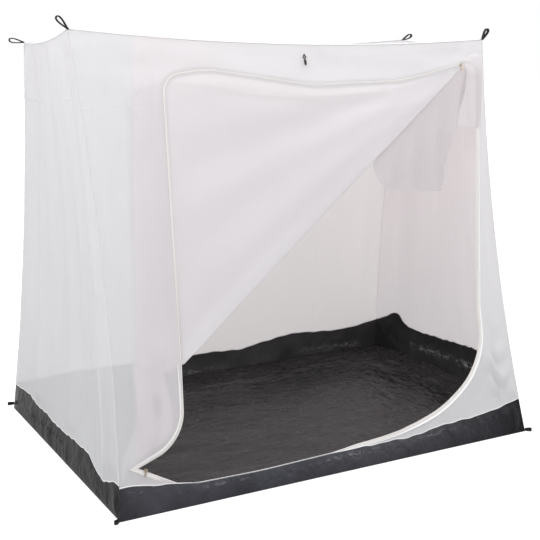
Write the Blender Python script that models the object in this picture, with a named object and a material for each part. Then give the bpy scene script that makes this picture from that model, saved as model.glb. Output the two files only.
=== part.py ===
"""Hanging inner tent with a tub groundsheet, a zipped front door folded aside, and its loops.

Metres, +Z up. The origin is on the ground in the middle of the base. The door faces -Y.
"""
import math

import bmesh
import bpy
from mathutils import Matrix, Vector
from mathutils.geometry import delaunay_2d_cdt

# Overall size of the pitched tent
HEIGHT = 1.75
DEPTH = 1.40
FRONT_BASE_HALF_WIDTH = 0.966
BACK_BASE_LEFT = 1.044
BACK_BASE_RIGHT = 1.080
BACK_RIGHT_STEP = 0.040
FRONT_TOP_HALF_WIDTH = 0.956
BACK_TOP_HALF_WIDTH = 0.967
FRONT_SETBACK = 0.406
BACK_SETBACK = 0.337
RAISED_CORNER = 0.047

# Slack of the hung cloth
CORNER_BOW_FRONT_LEFT = 0.035
CORNER_BOW_FRONT_RIGHT = 0.049
CORNER_BOW_BACK_LEFT = 0.024
CORNER_BOW_BACK_RIGHT = 0.030
BASE_BOW_RIGHT = 0.120
TOP_SAG_FRONT = 0.040
TOP_SAG_SIDE = 0.022
TOP_SAG_BACK = 0.035
ROOF_SAG = 0.045
WALL_FOLD_DEPTH = 0.012
FLAP_FOLD_DEPTH = 0.010
WALL_FOLDS = 2.0
FRONT_FOLDS_PER_METRE = 3.0
FLAP_FOLDS = 14.0
FREE_FOLDS_PER_METRE = 2.7
FOLD_FADE = 0.12

# Sheets and the gaps at their seams
CLOTH = 0.0010
GROUNDSHEET = 0.0015
GAP = 0.0003
SEAM_INSET = CLOTH / 2 + GAP + 0.0001

# Height of the tub's top edge along each side, evenly spaced
TUB_FRONT = (0.127, 0.100, 0.091, 0.085, 0.083, 0.082, 0.082, 0.084, 0.098, 0.117, 0.158)
TUB_LEFT = (0.127, 0.095, 0.142, 0.129, 0.133, 0.130, 0.133, 0.150, 0.133)
TUB_BACK = (0.133, 0.150, 0.142, 0.139, 0.133, 0.143, 0.170, 0.148, 0.175)
TUB_RIGHT = (0.158, 0.200, 0.232, 0.226, 0.210, 0.194, 0.185, 0.250, 0.175)

# Doorway outline: share of the front wall's width, share of the way from tub to roof seam, radius
DOOR_TIP = (0.0249, 0.0388, 0.000)
DOOR_SILL_LEFT = (0.1218, 0.0046, 0.050)
DOOR_SILL_RIGHT = (0.5634, 0.0059, 0.600)
DOOR_LOWER_RIGHT = (0.9076, 0.0119, 0.360)
DOOR_RIGHT_KNEE = (0.9176, 0.2619, 0.300)
DOOR_TOP_RIGHT = (0.9775, 0.9495, 0.060)
DOOR_ZIP_TOP_END = (0.9308, 0.9421, 0.000)
DOOR_TOP_HOLLOW_RIGHT = (0.7661, 0.9127, 0.450)
DOOR_TOP_HOLLOW_LEFT = (0.5326, 0.9074, 0.400)
DOOR_TOP_RISE = (0.2782, 0.9403, 0.300)
DOOR_TOP_LEFT = (0.1752, 0.9179, 0.090)
DOOR_LEFT_WAIST = (0.1512, 0.5255, 1.200)
DOOR_ZIP_LEFT_END = (0.1432, 0.2636, 0.000)
DOOR_LEFT_HEEL = (0.1407, 0.0962, 0.170)
DOOR_ARC_STEP = math.radians(11)

# Zip
TAPE_WIDTH = 0.0080
TAPE = 0.0010
CHAIN_WIDTH = 0.0025
CHAIN = 0.0024
CHAIN_SLOT = 0.0016

# Free part of the door, folded back: along the crease and away from it, as shares of its length
FREE_EDGE = ((0.8480, 0.0600), (0.6740, 0.1740), (0.5520, 0.2780), (0.4600, 0.3840),
             (0.3800, 0.4550), (0.3150, 0.4700), (0.2680, 0.4240), (0.1940, 0.3470),
             (0.1220, 0.2720), (0.0490, 0.1960), (-0.0100, 0.1380), (-0.0510, 0.0920),
             (-0.0600, 0.0630), (-0.0420, 0.0350), (-0.0300, 0.0130))
FREE_EDGE_STEPS = 3
FREE_LEAN = 0.10
FREE_TAPE_START = 0.035

# Slider and its pull
SLIDER_LENGTH = 0.0130
SLIDER_PLATE = 0.0012
SLIDER_SIDE_PLAY = 0.0005
SLIDER_FACE_PLAY = 0.0004
SLIDER_FLANGE = 0.0010
SLIDER_NOSE_FLARE = 1.12
BAIL_SPAN = 0.0064
BAIL_RISE = 0.0032
BAIL_BAR_RADIUS = 0.0007
BAIL_POST = 0.0014
PULL_COLLAR_RADIUS = 0.0020
PULL_COLLAR_LENGTH = 0.0034
PULL_BORE_RADIUS = 0.0011
PULL_LENGTH = 0.0250
PULL_WIDTH = 0.0070
PULL_THICKNESS = 0.0012
PULL_LEAN = 2.0
UPPER_SLIDER_INSET = 0.0027
LOWER_SLIDER_INSET = 0.030

# Hanging loops: length, width of the eye, band, seat as shares of the root radius, angle of rise
HANG_LOOP_LENGTH = 0.066
HANG_LOOP_WIDTH = 0.022
HANG_BAND_WIDTH = 0.010
HANG_BAND = 0.0032
HANG_SEAT_OUT = 0.62
HANG_SEAT_UP = 0.56
HANG_ANGLES = {"front_left": 48.0, "front_right": 58.0, "back_left": 10.0, "back_right": 25.0}

# Peg loops: length, width of the eye, band, turn from straight sideways, rise off the ground
PEG_LOOP_LENGTH = 0.030
PEG_LOOP_WIDTH = 0.014
PEG_BAND_WIDTH = 0.014
PEG_BAND = 0.0014
PEG_TURNS = {"front_left": 30.0, "front_right": 30.0, "back_left": -8.0, "back_right": -8.0}
PEG_RISES = {"front_left": 0.0, "front_right": 0.0, "back_left": 0.018, "back_right": 0.0}
PEG_GAPS = {"front_left": 0.0021, "front_right": 0.0026, "back_left": 0.0020, "back_right": 0.0026}
LOOP_ROOT_RADIUS = 0.0018

# Door toggle on its elastic
TOGGLE_PLACE = 0.5134
TOGGLE_DROP = 0.042
TOGGLE_FLAT_HALF_WIDTH = 0.020
TOGGLE_LOOP_LENGTH = 0.017
TOGGLE_LOOP_WIDTH = 0.0085
TOGGLE_LOOP_LEAN = 8.0
TOGGLE_BAND_WIDTH = 0.0024
TOGGLE_BAND = 0.0012
TOGGLE_ROOT_RADIUS = 0.0013
TOGGLE_LENGTH = 0.030
TOGGLE_RADIUS = 0.0055
TOGGLE_LEAN = 8.0
TOGGLE_EYE_RADIUS = 0.0030
TOGGLE_EYE_BORE = 0.0019
TOGGLE_EYE_WIDTH = 0.0022
TOGGLE_PROFILE = ((0.0, 0.30), (0.10, 0.62), (0.25, 0.92), (0.50, 1.00), (0.75, 0.90), (0.92, 0.62),
                  (1.0, 0.35))

# Density of the meshes
ACROSS = 16
DEEP = 8
UP = 12
WALL_COLUMNS = 16
CLOTH_GRID = 0.105

# Colours seen on the tent
WHITE_CLOTH = (0.86, 0.86, 0.87)
DARK_SHEET = (0.035, 0.036, 0.040)
CREAM_TAPE = (0.80, 0.77, 0.70)
BLACK_BAND = (0.015, 0.015, 0.016)
BRASS = (0.55, 0.38, 0.18)

X_AXIS = Vector((1, 0, 0))
SLOPE_LENGTH = math.hypot(FRONT_SETBACK, HEIGHT)
SLOPE = Vector((0, FRONT_SETBACK, HEIGHT)) / SLOPE_LENGTH
INWARD = Vector((0, HEIGHT, -FRONT_SETBACK)) / SLOPE_LENGTH


def clear_scene():
    for old in list(bpy.data.objects):
        bpy.data.objects.remove(old, do_unlink=True)


def material(name, colour, roughness, metallic=0.0):
    made = bpy.data.materials.new(name)
    made.use_nodes = True
    shader = made.node_tree.nodes["Principled BSDF"]
    shader.inputs["Base Color"].default_value = (*colour, 1.0)
    shader.inputs["Roughness"].default_value = roughness
    shader.inputs["Metallic"].default_value = metallic
    return made


def add_object(name, points, faces, surface, origin=None):
    """A mesh object whose origin is its joint's pivot where it has one."""
    pivot = origin if origin is not None else Vector((0, 0, 0))
    mesh = bpy.data.meshes.new(name)
    mesh.from_pydata([tuple(Vector(p) - pivot) for p in points], [], faces)
    mesh.update()
    made = bpy.data.objects.new(name, mesh)
    bpy.context.scene.collection.objects.link(made)
    made.location = pivot
    mesh.materials.append(surface)
    return made


def thicken(sheet, thickness):
    """Turns an open sheet into a closed solid with the sheet as its middle."""
    solid = sheet.modifiers.new("thickness", "SOLIDIFY")
    solid.thickness = thickness
    solid.offset = 0.0
    solid.use_even_offset = True
    return sheet


def shade_round(made, angle=35.0):
    made.data.shade_smooth()
    made.data.set_sharp_from_angle(angle=math.radians(angle))


def mix(a, b, t):
    return a + (b - a) * t


def hump(t):
    return 4.0 * t * (1.0 - t)


def along(heights, t):
    """Height at t from 0 to 1 on an evenly spaced list."""
    place = min(max(t, 0.0), 1.0) * (len(heights) - 1)
    left = min(int(place), len(heights) - 2)
    return mix(heights[left], heights[left + 1], place - left)


# The pitched frame of edges

def front_point(x, v, n=0.0):
    """A point of the front wall: across, up the slope, and inward from it."""
    return Vector((x, -DEPTH / 2, 0)) + SLOPE * v + INWARD * n


BASE = {
    "front_left": Vector((-FRONT_BASE_HALF_WIDTH, -DEPTH / 2, 0)),
    "front_right": Vector((FRONT_BASE_HALF_WIDTH, -DEPTH / 2, 0)),
    "back_left": Vector((-BACK_BASE_LEFT, DEPTH / 2, 0)),
    "back_right": Vector((BACK_BASE_RIGHT, DEPTH / 2 + BACK_RIGHT_STEP, 0)),
}
FRONT_LEFT_RISE = 1.0 + RAISED_CORNER / HEIGHT
TOP = {
    "front_left": Vector((-FRONT_TOP_HALF_WIDTH, -DEPTH / 2 + FRONT_SETBACK * FRONT_LEFT_RISE,
                          HEIGHT + RAISED_CORNER)),
    "front_right": Vector((FRONT_TOP_HALF_WIDTH, -DEPTH / 2 + FRONT_SETBACK, HEIGHT)),
    "back_left": Vector((-BACK_TOP_HALF_WIDTH, DEPTH / 2 - BACK_SETBACK, HEIGHT)),
    "back_right": Vector((BACK_TOP_HALF_WIDTH, DEPTH / 2 - BACK_SETBACK, HEIGHT)),
}
BOWS = {
    "front_left": CORNER_BOW_FRONT_LEFT,
    "front_right": -CORNER_BOW_FRONT_RIGHT,
    "back_left": CORNER_BOW_BACK_LEFT,
    "back_right": -CORNER_BOW_BACK_RIGHT,
}


def corner_edge(corner):
    """The upright edge at a corner, bowed towards the middle of the tent."""
    return lambda t: mix(BASE[corner], TOP[corner], t) + X_AXIS * (BOWS[corner] * hump(t))


def base_edge(first, last, bow=0.0):
    return lambda t: mix(BASE[first], BASE[last], t) + X_AXIS * (bow * hump(t))


def top_edge(first, last, sag, fall):
    """A top edge that hangs between two corners; fall is the way that it drops."""
    return lambda t: mix(TOP[first], TOP[last], t) + fall * (sag * hump(t))


DOWN = Vector((0, 0, -1))
EDGES = {
    "base_front": base_edge("front_left", "front_right"),
    "base_back": base_edge("back_left", "back_right"),
    "base_left": base_edge("front_left", "back_left"),
    "base_right": base_edge("front_right", "back_right", BASE_BOW_RIGHT),
    "top_front": top_edge("front_left", "front_right", TOP_SAG_FRONT, -SLOPE),
    "top_back": top_edge("back_left", "back_right", TOP_SAG_BACK, DOWN),
    "top_left": top_edge("front_left", "back_left", TOP_SAG_SIDE, DOWN),
    "top_right": top_edge("front_right", "back_right", TOP_SAG_SIDE, DOWN),
}


def patch(low, high, left, right):
    """A surface spread between four edges that share their corners."""
    corners = low(0.0), low(1.0), high(0.0), high(1.0)

    def surface(u, v):
        across = mix(low(u), high(u), v)
        upright = mix(left(v), right(v), u)
        flat = mix(mix(corners[0], corners[1], u), mix(corners[2], corners[3], u), v)
        return across + upright - flat
    return surface


WALLS = {
    "left": patch(EDGES["base_left"], EDGES["top_left"],
                  corner_edge("front_left"), corner_edge("back_left")),
    "right": patch(EDGES["base_right"], EDGES["top_right"],
                   corner_edge("front_right"), corner_edge("back_right")),
    "back": patch(EDGES["base_back"], EDGES["top_back"],
                  corner_edge("back_left"), corner_edge("back_right")),
    "roof": patch(EDGES["top_front"], EDGES["top_back"],
                  EDGES["top_left"], EDGES["top_right"]),
}


def wall_normal(surface, u, v, step=0.01):
    du = surface(u + step, v) - surface(u - step, v)
    dv = surface(u, v + step) - surface(u, v - step)
    return du.cross(dv).normalized()


# Ground sheet and tub

def sheet_grid(columns, rows, place):
    """Points and four-sided faces of a grid; place gives the point of a column and row."""
    points = [place(i / columns, j / rows) for j in range(rows + 1) for i in range(columns + 1)]
    wide = columns + 1
    faces = [(j * wide + i, j * wide + i + 1, (j + 1) * wide + i + 1, (j + 1) * wide + i)
             for j in range(rows) for i in range(columns)]
    return points, faces


def make_floor(surface):
    """The flat groundsheet under the tub walls, out to their outer faces."""
    sides = []
    for first, edge, forward in (("front", "base_front", True), ("right", "base_right", True),
                                 ("back", "base_back", False), ("left", "base_left", False)):
        for step in range(DEEP):
            t = step / DEEP
            sides.append(EDGES[edge](t if forward else 1.0 - t))
    count = len(sides)
    low = [Vector((p.x, p.y, 0.0)) for p in sides]
    high = [Vector((p.x, p.y, GROUNDSHEET)) for p in sides]
    faces = [tuple(reversed(range(count))), tuple(range(count, 2 * count))]
    faces += [(i, (i + 1) % count, count + (i + 1) % count, count + i) for i in range(count)]
    return add_object("groundsheet_floor", low + high, faces, surface)


def side_inset(edge, distance):
    return distance / (EDGES[edge](1.0) - EDGES[edge](0.0)).length


def make_tub_wall(name, wall, edge, heights, surface):
    """A strip of the groundsheet that stands on its rim, with a slack top edge."""
    inset = side_inset(edge, GROUNDSHEET / 2 + GAP + 0.0001)
    low = (GROUNDSHEET + GAP) / HEIGHT
    columns = len(heights) - 1

    def place(s, t):
        u = mix(inset, 1.0 - inset, s)
        top = along(heights, s) / HEIGHT - GAP / HEIGHT
        return WALLS[wall](u, mix(low, top, t))
    points, faces = sheet_grid(columns, 2, place)
    return thicken(add_object(name, points, faces, surface), CLOTH)


def make_side_wall(name, wall, edge, heights, folds, depth, surface):
    """A side or back wall from the tub to the roof seam, with its soft upright folds."""
    inset = side_inset(edge, SEAM_INSET)

    def place(s, t):
        u = mix(inset, 1.0 - inset, s)
        low = along(heights, s) / HEIGHT + GAP / HEIGHT
        v = mix(low, 1.0 - SEAM_INSET / HEIGHT, t)
        slack = depth * math.sin(2.0 * math.pi * folds * s) * hump(s) * hump(t) ** 0.7
        return WALLS[wall](u, v) + wall_normal(WALLS[wall], u, v) * slack
    points, faces = sheet_grid(WALL_COLUMNS, UP, place)
    return thicken(add_object(name, points, faces, surface), CLOTH)


def make_roof(surface):
    """The roof panel, hung from the four top edges and sagging between them."""
    side = side_inset("top_front", SEAM_INSET)
    ends = side_inset("top_left", SEAM_INSET)

    def place(s, t):
        u = mix(side, 1.0 - side, s)
        v = mix(ends, 1.0 - ends, t)
        return WALLS["roof"](u, v) + DOWN * (ROOF_SAG * hump(s) * hump(t))
    points, faces = sheet_grid(ACROSS, 6, place)
    return thicken(add_object("roof_panel", points, faces, surface), CLOTH)


# Outlines on the front wall

def rounded_outline(corners, arc_step):
    """A closed outline with its corners rounded, and where each corner's points start."""
    points = []
    starts = []
    count = len(corners)
    for k in range(count):
        here = Vector(corners[k][:2])
        back = (Vector(corners[k - 1][:2]) - here).normalized()
        ahead = (Vector(corners[(k + 1) % count][:2]) - here).normalized()
        radius = corners[k][2]
        starts.append(len(points))
        if radius == 0.0:
            points.append(here)
            continue
        half = back.angle(ahead) / 2
        reach = radius / math.tan(half)
        middle = here + (back + ahead).normalized() * (radius / math.sin(half))
        start = here + back * reach - middle
        turn = math.pi - 2 * half
        left_turn = back.x * ahead.y - back.y * ahead.x < 0
        steps = max(2, round(turn / arc_step))
        for i in range(steps + 1):
            angle = turn * i / steps * (1 if left_turn else -1)
            points.append(middle + Matrix.Rotation(angle, 2) @ start)
    return points, starts


def offset_outline(outline, distance):
    """The closed outline moved inward, to the left of its direction, by a distance."""
    moved = []
    count = len(outline)
    for i in range(count):
        before = (outline[i] - outline[i - 1]).normalized()
        after = (outline[(i + 1) % count] - outline[i]).normalized()
        left = Vector((-before.y - after.y, before.x + after.x)).normalized()
        share = left.dot(Vector((-before.y, before.x)))
        moved.append(outline[i] + left * (distance / share))
    return moved


def inside(point, outline):
    """True where a point lies within a closed outline."""
    found = False
    count = len(outline)
    for i in range(count):
        a, b = outline[i], outline[(i + 1) % count]
        if (a.y > point.y) != (b.y > point.y):
            if point.x < a.x + (point.y - a.y) * (b.x - a.x) / (b.y - a.y):
                found = not found
    return found


def edge_distance(point, outline):
    """Distance from a point to a closed outline."""
    nearest = 1e9
    count = len(outline)
    for i in range(count):
        a, b = outline[i], outline[(i + 1) % count]
        run = b - a
        t = min(max((point - a).dot(run) / max(run.length_squared, 1e-12), 0.0), 1.0)
        nearest = min(nearest, (a + run * t - point).length)
    return nearest


def filled_sheet(outline, holes, spacing, flats=()):
    """Triangles over an outline with holes; inner points on a grid, none within the flats."""
    points = list(outline)
    edges = [(i, (i + 1) % len(outline)) for i in range(len(outline))]
    for loop in (*holes, *flats):
        start = len(points)
        points += loop
        edges += [(start + i, start + (i + 1) % len(loop)) for i in range(len(loop))]
    low_x, high_x = min(p.x for p in outline), max(p.x for p in outline)
    low_y, high_y = min(p.y for p in outline), max(p.y for p in outline)
    loops = [outline, *holes, *flats]
    columns = max(2, round((high_x - low_x) / spacing))
    rows = max(2, round((high_y - low_y) / spacing))
    for j in range(1, rows):
        for i in range(1, columns):
            shift = 0.5 * (j % 2)
            spot = Vector((mix(low_x, high_x, (i + shift) / columns), mix(low_y, high_y, j / rows)))
            if not inside(spot, outline) or any(inside(spot, loop) for loop in loops[1:]):
                continue
            if min(edge_distance(spot, loop) for loop in loops) > spacing * 0.3:
                points.append(spot)
    made = delaunay_2d_cdt(points, edges, [], 0, 1e-7)
    corners = [Vector(p) for p in made[0]]
    faces = []
    for face in made[2]:
        centre = sum((corners[i] for i in face), Vector((0, 0))) / len(face)
        if inside(centre, outline) and not any(inside(centre, hole) for hole in holes):
            faces.append(tuple(face))
    used = sorted({i for face in faces for i in face})
    place = {old: new for new, old in enumerate(used)}
    return [corners[i] for i in used], [tuple(place[i] for i in face) for face in faces]


DOOR_CORNERS = (DOOR_TIP, DOOR_SILL_LEFT, DOOR_SILL_RIGHT, DOOR_LOWER_RIGHT, DOOR_RIGHT_KNEE,
                DOOR_TOP_RIGHT, DOOR_ZIP_TOP_END, DOOR_TOP_HOLLOW_RIGHT, DOOR_TOP_HOLLOW_LEFT,
                DOOR_TOP_RISE, DOOR_TOP_LEFT, DOOR_LEFT_WAIST, DOOR_ZIP_LEFT_END, DOOR_LEFT_HEEL)

def front_edge_x(corner, v, inset):
    """Across position of a front corner edge at a height up the slope."""
    top = TOP[corner].z / HEIGHT * SLOPE_LENGTH
    edge = corner_edge(corner)(v / top)
    return edge.x + (inset if edge.x < 0 else -inset)


def front_seam_height(u):
    """Height up the slope of the front's top seam, at a share of its width."""
    return EDGES["top_front"](u).z / HEIGHT * SLOPE_LENGTH


def front_place(u, v):
    """Across and up the slope, at a share of the wall's width and a height up the slope."""
    left = front_edge_x("front_left", v, 0.0)
    right = front_edge_x("front_right", v, 0.0)
    return Vector((mix(left, right, u), v))


def door_corner(corner):
    """A corner of the doorway on the front wall, between the tub's edge and the roof seam."""
    u, share, radius = corner
    place = front_place(u, mix(along(TUB_FRONT, u), front_seam_height(u), share))
    return (*place, radius)


DOOR_OUTLINE, DOOR_STARTS = rounded_outline([door_corner(c) for c in DOOR_CORNERS], DOOR_ARC_STEP)
ZIP_TOP_END = DOOR_STARTS[DOOR_CORNERS.index(DOOR_ZIP_TOP_END)]
ZIP_LEFT_END = DOOR_STARTS[DOOR_CORNERS.index(DOOR_ZIP_LEFT_END)]
WALL_CHAIN_START = GAP + TAPE_WIDTH + GAP
FLAP_CHAIN_START = WALL_CHAIN_START + CHAIN_WIDTH + CHAIN_SLOT
FLAP_TAPE_START = FLAP_CHAIN_START + CHAIN_WIDTH + GAP
FLAP_CLOTH_START = FLAP_TAPE_START + TAPE_WIDTH + GAP


def tub_front_points(shift):
    """The tub's top edge along the front, on the front wall, moved up or down by shift."""
    count = len(TUB_FRONT) - 1
    points = []
    for i in range(count + 1):
        v = TUB_FRONT[i] + shift
        left = front_edge_x("front_left", v, SEAM_INSET)
        right = front_edge_x("front_right", v, SEAM_INSET)
        points.append(Vector((mix(left, right, i / count), v)))
    return points


def front_wall_outline():
    """Round the front wall: tub edge, right corner, top edge and left corner."""
    outline = tub_front_points(GAP / 2)
    for corner, upward in (("front_right", True), ("front_left", False)):
        top = TOP[corner].z / HEIGHT * SLOPE_LENGTH - SEAM_INSET
        low = (TUB_FRONT[-1] if corner == "front_right" else TUB_FRONT[0]) + GAP / 2
        levels = [mix(low, top, j / UP) for j in range(1, UP + 1)]
        edge = [Vector((front_edge_x(corner, v, SEAM_INSET), v)) for v in levels]
        if upward:
            outline += edge
            seam = [EDGES["top_front"](1.0 - i / ACROSS) for i in range(1, ACROSS)]
            outline += [Vector((p.x, p.z / HEIGHT * SLOPE_LENGTH - SEAM_INSET)) for p in seam]
        else:
            outline += reversed(edge)
    return outline


def make_tub_front(surface):
    low = GROUNDSHEET + GAP
    inset = GROUNDSHEET / 2 + GAP
    top = tub_front_points(-GAP / 2)
    bottom = []
    for i in range(len(top)):
        left = front_edge_x("front_left", low, inset)
        right = front_edge_x("front_right", low, inset)
        bottom.append(Vector((mix(left, right, i / (len(top) - 1)), low)))
    points = [front_point(p.x, p.y) for p in bottom + top]
    wide = len(top)
    faces = [(i, i + 1, wide + i + 1, wide + i) for i in range(wide - 1)]
    return thicken(add_object("tub_wall_front", points, faces, surface), CLOTH)


def toggle_spot():
    """Where the toggle's elastic is sewn to the front wall."""
    return front_place(TOGGLE_PLACE, front_seam_height(TOGGLE_PLACE) - TOGGLE_DROP)


def toggle_flat():
    """The patch of front wall behind the toggle, which its weight keeps flat."""
    spot = toggle_spot()
    low = TOGGLE_LOOP_LENGTH + TOGGLE_LENGTH + TOGGLE_RADIUS
    half = TOGGLE_FLAT_HALF_WIDTH
    return [spot + Vector(shift) for shift in
            ((-half, -low), (half, -low), (half, TOGGLE_RADIUS), (-half, TOGGLE_RADIUS))]


def make_front_wall(surface):
    """The front wall with its doorway cut out; its slack folds fall inward from the flat."""
    outline = front_wall_outline()
    flat = toggle_flat()
    spots, faces = filled_sheet(outline, [DOOR_OUTLINE], CLOTH_GRID, [flat])
    points = []
    for p in spots:
        free = min(edge_distance(p, loop) for loop in (outline, DOOR_OUTLINE, flat))
        wave = 0.5 + 0.5 * math.sin(2.0 * math.pi * FRONT_FOLDS_PER_METRE * p.x)
        slack = min(free / FOLD_FADE, 1.0) * WALL_FOLD_DEPTH * wave
        points.append(front_point(p.x, p.y, slack))
    return thicken(add_object("front_wall", points, faces, surface), CLOTH)


def make_ring_band(name, start, width, thickness, surface):
    """A band all round the doorway, between two distances in from its edge."""
    outer = offset_outline(DOOR_OUTLINE, start)
    inner = offset_outline(DOOR_OUTLINE, start + width)
    count = len(outer)
    points = [front_point(p.x, p.y) for p in outer + inner]
    faces = [(i, (i + 1) % count, count + (i + 1) % count, count + i) for i in range(count)]
    return thicken(add_object(name, points, faces, surface), thickness)


def closed_stretch(distance):
    """The zipped stretch, from the upper slider to the crease's foot, moved inward."""
    return offset_outline(DOOR_OUTLINE, distance)[ZIP_TOP_END:ZIP_LEFT_END + 1]


def make_closed_band(name, start, width, thickness, surface):
    outer = closed_stretch(start)
    inner = closed_stretch(start + width)
    count = len(outer)
    points = [front_point(p.x, p.y) for p in outer + inner]
    faces = [(i, i + 1, count + i + 1, count + i) for i in range(count - 1)]
    return thicken(add_object(name, points, faces, surface), thickness)


# The door flap: the zipped part in front, and the free part folded behind it

FLAP_RIM = closed_stretch(FLAP_CLOTH_START)
CREASE_TOP = FLAP_RIM[0]
CREASE_FOOT = FLAP_RIM[-1]
CREASE_RUN = (CREASE_TOP - CREASE_FOOT).normalized()
CREASE_SIDE = Vector((-CREASE_RUN.y, CREASE_RUN.x))
FOLD_AXIS_DEPTH = CLOTH / 2 + GAP / 2


def crease_point(a, b):
    """A spot on the front wall by its place along and away from the crease."""
    return CREASE_FOOT + CREASE_RUN * a + CREASE_SIDE * b


def make_flap_front(surface):
    """The zipped part of the door, with long soft folds drawn towards the upper slider."""
    outline = list(FLAP_RIM)
    outline[0] = CREASE_TOP + CREASE_SIDE * GAP
    outline[-1] = CREASE_FOOT + CREASE_SIDE * GAP
    spots, faces = filled_sheet(outline, [], CLOTH_GRID)
    points = []
    for p in spots:
        free = min(edge_distance(p, outline) / FOLD_FADE, 1.0)
        drawn_to = DOOR_OUTLINE[ZIP_TOP_END]
        angle = math.atan2(drawn_to.y - p.y, drawn_to.x - p.x)
        slack = free * FLAP_FOLD_DEPTH * math.sin(angle * FLAP_FOLDS)
        points.append(front_point(p.x, p.y, -abs(slack)))
    return thicken(add_object("door_flap_front", points, faces, surface), CLOTH)


def free_edge_points():
    """The free edge as a smooth run through its few set points, in crease terms."""
    length = (CREASE_TOP - CREASE_FOOT).length
    knots = [Vector((length, GAP))] + [Vector(p) * length for p in FREE_EDGE] + [Vector((0.0, GAP))]
    spots = [knots[0]]
    for k in range(len(knots) - 1):
        before = knots[max(k - 1, 0)]
        a, b = knots[k], knots[k + 1]
        after = knots[min(k + 2, len(knots) - 1)]
        for i in range(1, FREE_EDGE_STEPS + 1):
            t = i / FREE_EDGE_STEPS
            spots.append(((a * 2) + (b - before) * t + (before * 2 - a * 5 + b * 4 - after) * t * t
                          + (a * 3 - before - b * 3 + after) * t ** 3) * 0.5)
    return spots


def free_depth(spot):
    """How far behind the front wall the free part hangs, at a place by the crease."""
    lift = max(spot.y - GAP, 0.0)
    wave = math.sin(2.0 * math.pi * FREE_FOLDS_PER_METRE * (spot.x - lift / 6.0))
    fold = FLAP_FOLD_DEPTH * min(lift / FOLD_FADE, 1.0) * wave
    return CLOTH + GAP + FREE_LEAN * lift + abs(fold)


def free_point(spot):
    place = crease_point(spot.x, spot.y)
    return front_point(place.x, place.y, free_depth(spot))


def crease_pivot():
    return front_point(CREASE_FOOT.x, CREASE_FOOT.y, FOLD_AXIS_DEPTH)


def make_flap_free(surface):
    """The free part of the door, folded behind along the crease."""
    outline = free_edge_points()
    spots, faces = filled_sheet(outline, [], CLOTH_GRID)
    points = [free_point(p) for p in spots]
    return thicken(add_object("door_flap_free", points, faces, surface, crease_pivot()), CLOTH)


def make_free_band(name, start, width, thickness, surface):
    """A band along the free edge, between two distances outside it."""
    edge = free_edge_points()
    first = next(i for i, p in enumerate(edge) if p.y > FREE_TAPE_START)
    last = max(i for i, p in enumerate(edge) if p.y > FREE_TAPE_START)
    points = []
    for reach in (start, start + width):
        for i in range(first, last + 1):
            run = (edge[i + 1] - edge[i - 1]).normalized()
            outward = Vector((run.y, -run.x))
            spot = edge[i] + outward * reach
            place = crease_point(spot.x, spot.y)
            points.append(front_point(place.x, place.y, free_depth(edge[i])))
    count = last - first + 1
    faces = [(i, i + 1, count + i + 1, count + i) for i in range(count - 1)]
    return thicken(add_object(name, points, faces, surface, crease_pivot()), thickness)


# Sliders and pulls

def slider_frame(x, v, run):
    """Place of a slider: its run along the zip, its side and the way out of the wall."""
    ahead = (X_AXIS * run.x + SLOPE * run.y).normalized()
    outward = -INWARD
    side = outward.cross(ahead)
    frame = Matrix((ahead, side, outward)).transposed().to_4x4()
    frame.translation = front_point(x, v)
    return frame


def slider_section(flare):
    """Cross-section of the slider: two plates with turned edges, joined by a post."""
    half = (CHAIN_WIDTH + CHAIN_SLOT / 2 + SLIDER_SIDE_PLAY) * flare
    rim = half + SLIDER_FLANGE
    face = CHAIN / 2 + SLIDER_FACE_PLAY
    top = face + SLIDER_PLATE
    slot = TAPE / 2 + SLIDER_FACE_PLAY
    post = CHAIN_SLOT / 2 - GAP
    right = [(post, -face), (half, -face), (half, -slot), (rim, -slot), (rim, -top)]
    lower_left = [(-x, y) for x, y in reversed(right)]
    upper_left = [(x, -y) for x, y in reversed(lower_left)]
    upper_right = [(-x, y) for x, y in reversed(upper_left)]
    return upper_right + right + lower_left + upper_left


def loft(sections):
    """Points and faces of a solid that runs through sections with as many points each."""
    count = len(sections[0])
    points = [p for section in sections for p in section]
    faces = [tuple(reversed(range(count)))]
    for k in range(len(sections) - 1):
        for i in range(count):
            j = (i + 1) % count
            low, high = k * count, (k + 1) * count
            faces.append((low + i, low + j, high + j, high + i))
    faces.append(tuple(range((len(sections) - 1) * count, len(sections) * count)))
    return points, faces


def fix_normals(made):
    shell = bmesh.new()
    shell.from_mesh(made.data)
    bmesh.ops.recalc_face_normals(shell, faces=shell.faces)
    shell.to_mesh(made.data)
    shell.free()


def add_round_bar(name, start, end, radius, sides=10):
    """A plain round bar between two points, for joining to another solid."""
    axis = (end - start).normalized()
    first = axis.orthogonal().normalized()
    second = axis.cross(first)
    rings = []
    for centre in (start, end):
        rings.append([centre + (first * math.cos(2 * math.pi * k / sides)
                                + second * math.sin(2 * math.pi * k / sides)) * radius
                      for k in range(sides)])
    points, faces = loft(rings)
    made = add_object(name, points, faces, None)
    fix_normals(made)
    return made


def join_solid(target, part, operation):
    """Adds a solid to another, or cuts it out, and hides the part that was used."""
    change = target.modifiers.new(part.name, "BOOLEAN")
    change.operation = operation
    change.object = part
    change.solver = "EXACT"
    part.hide_render = True
    part.display_type = "WIRE"


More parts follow.
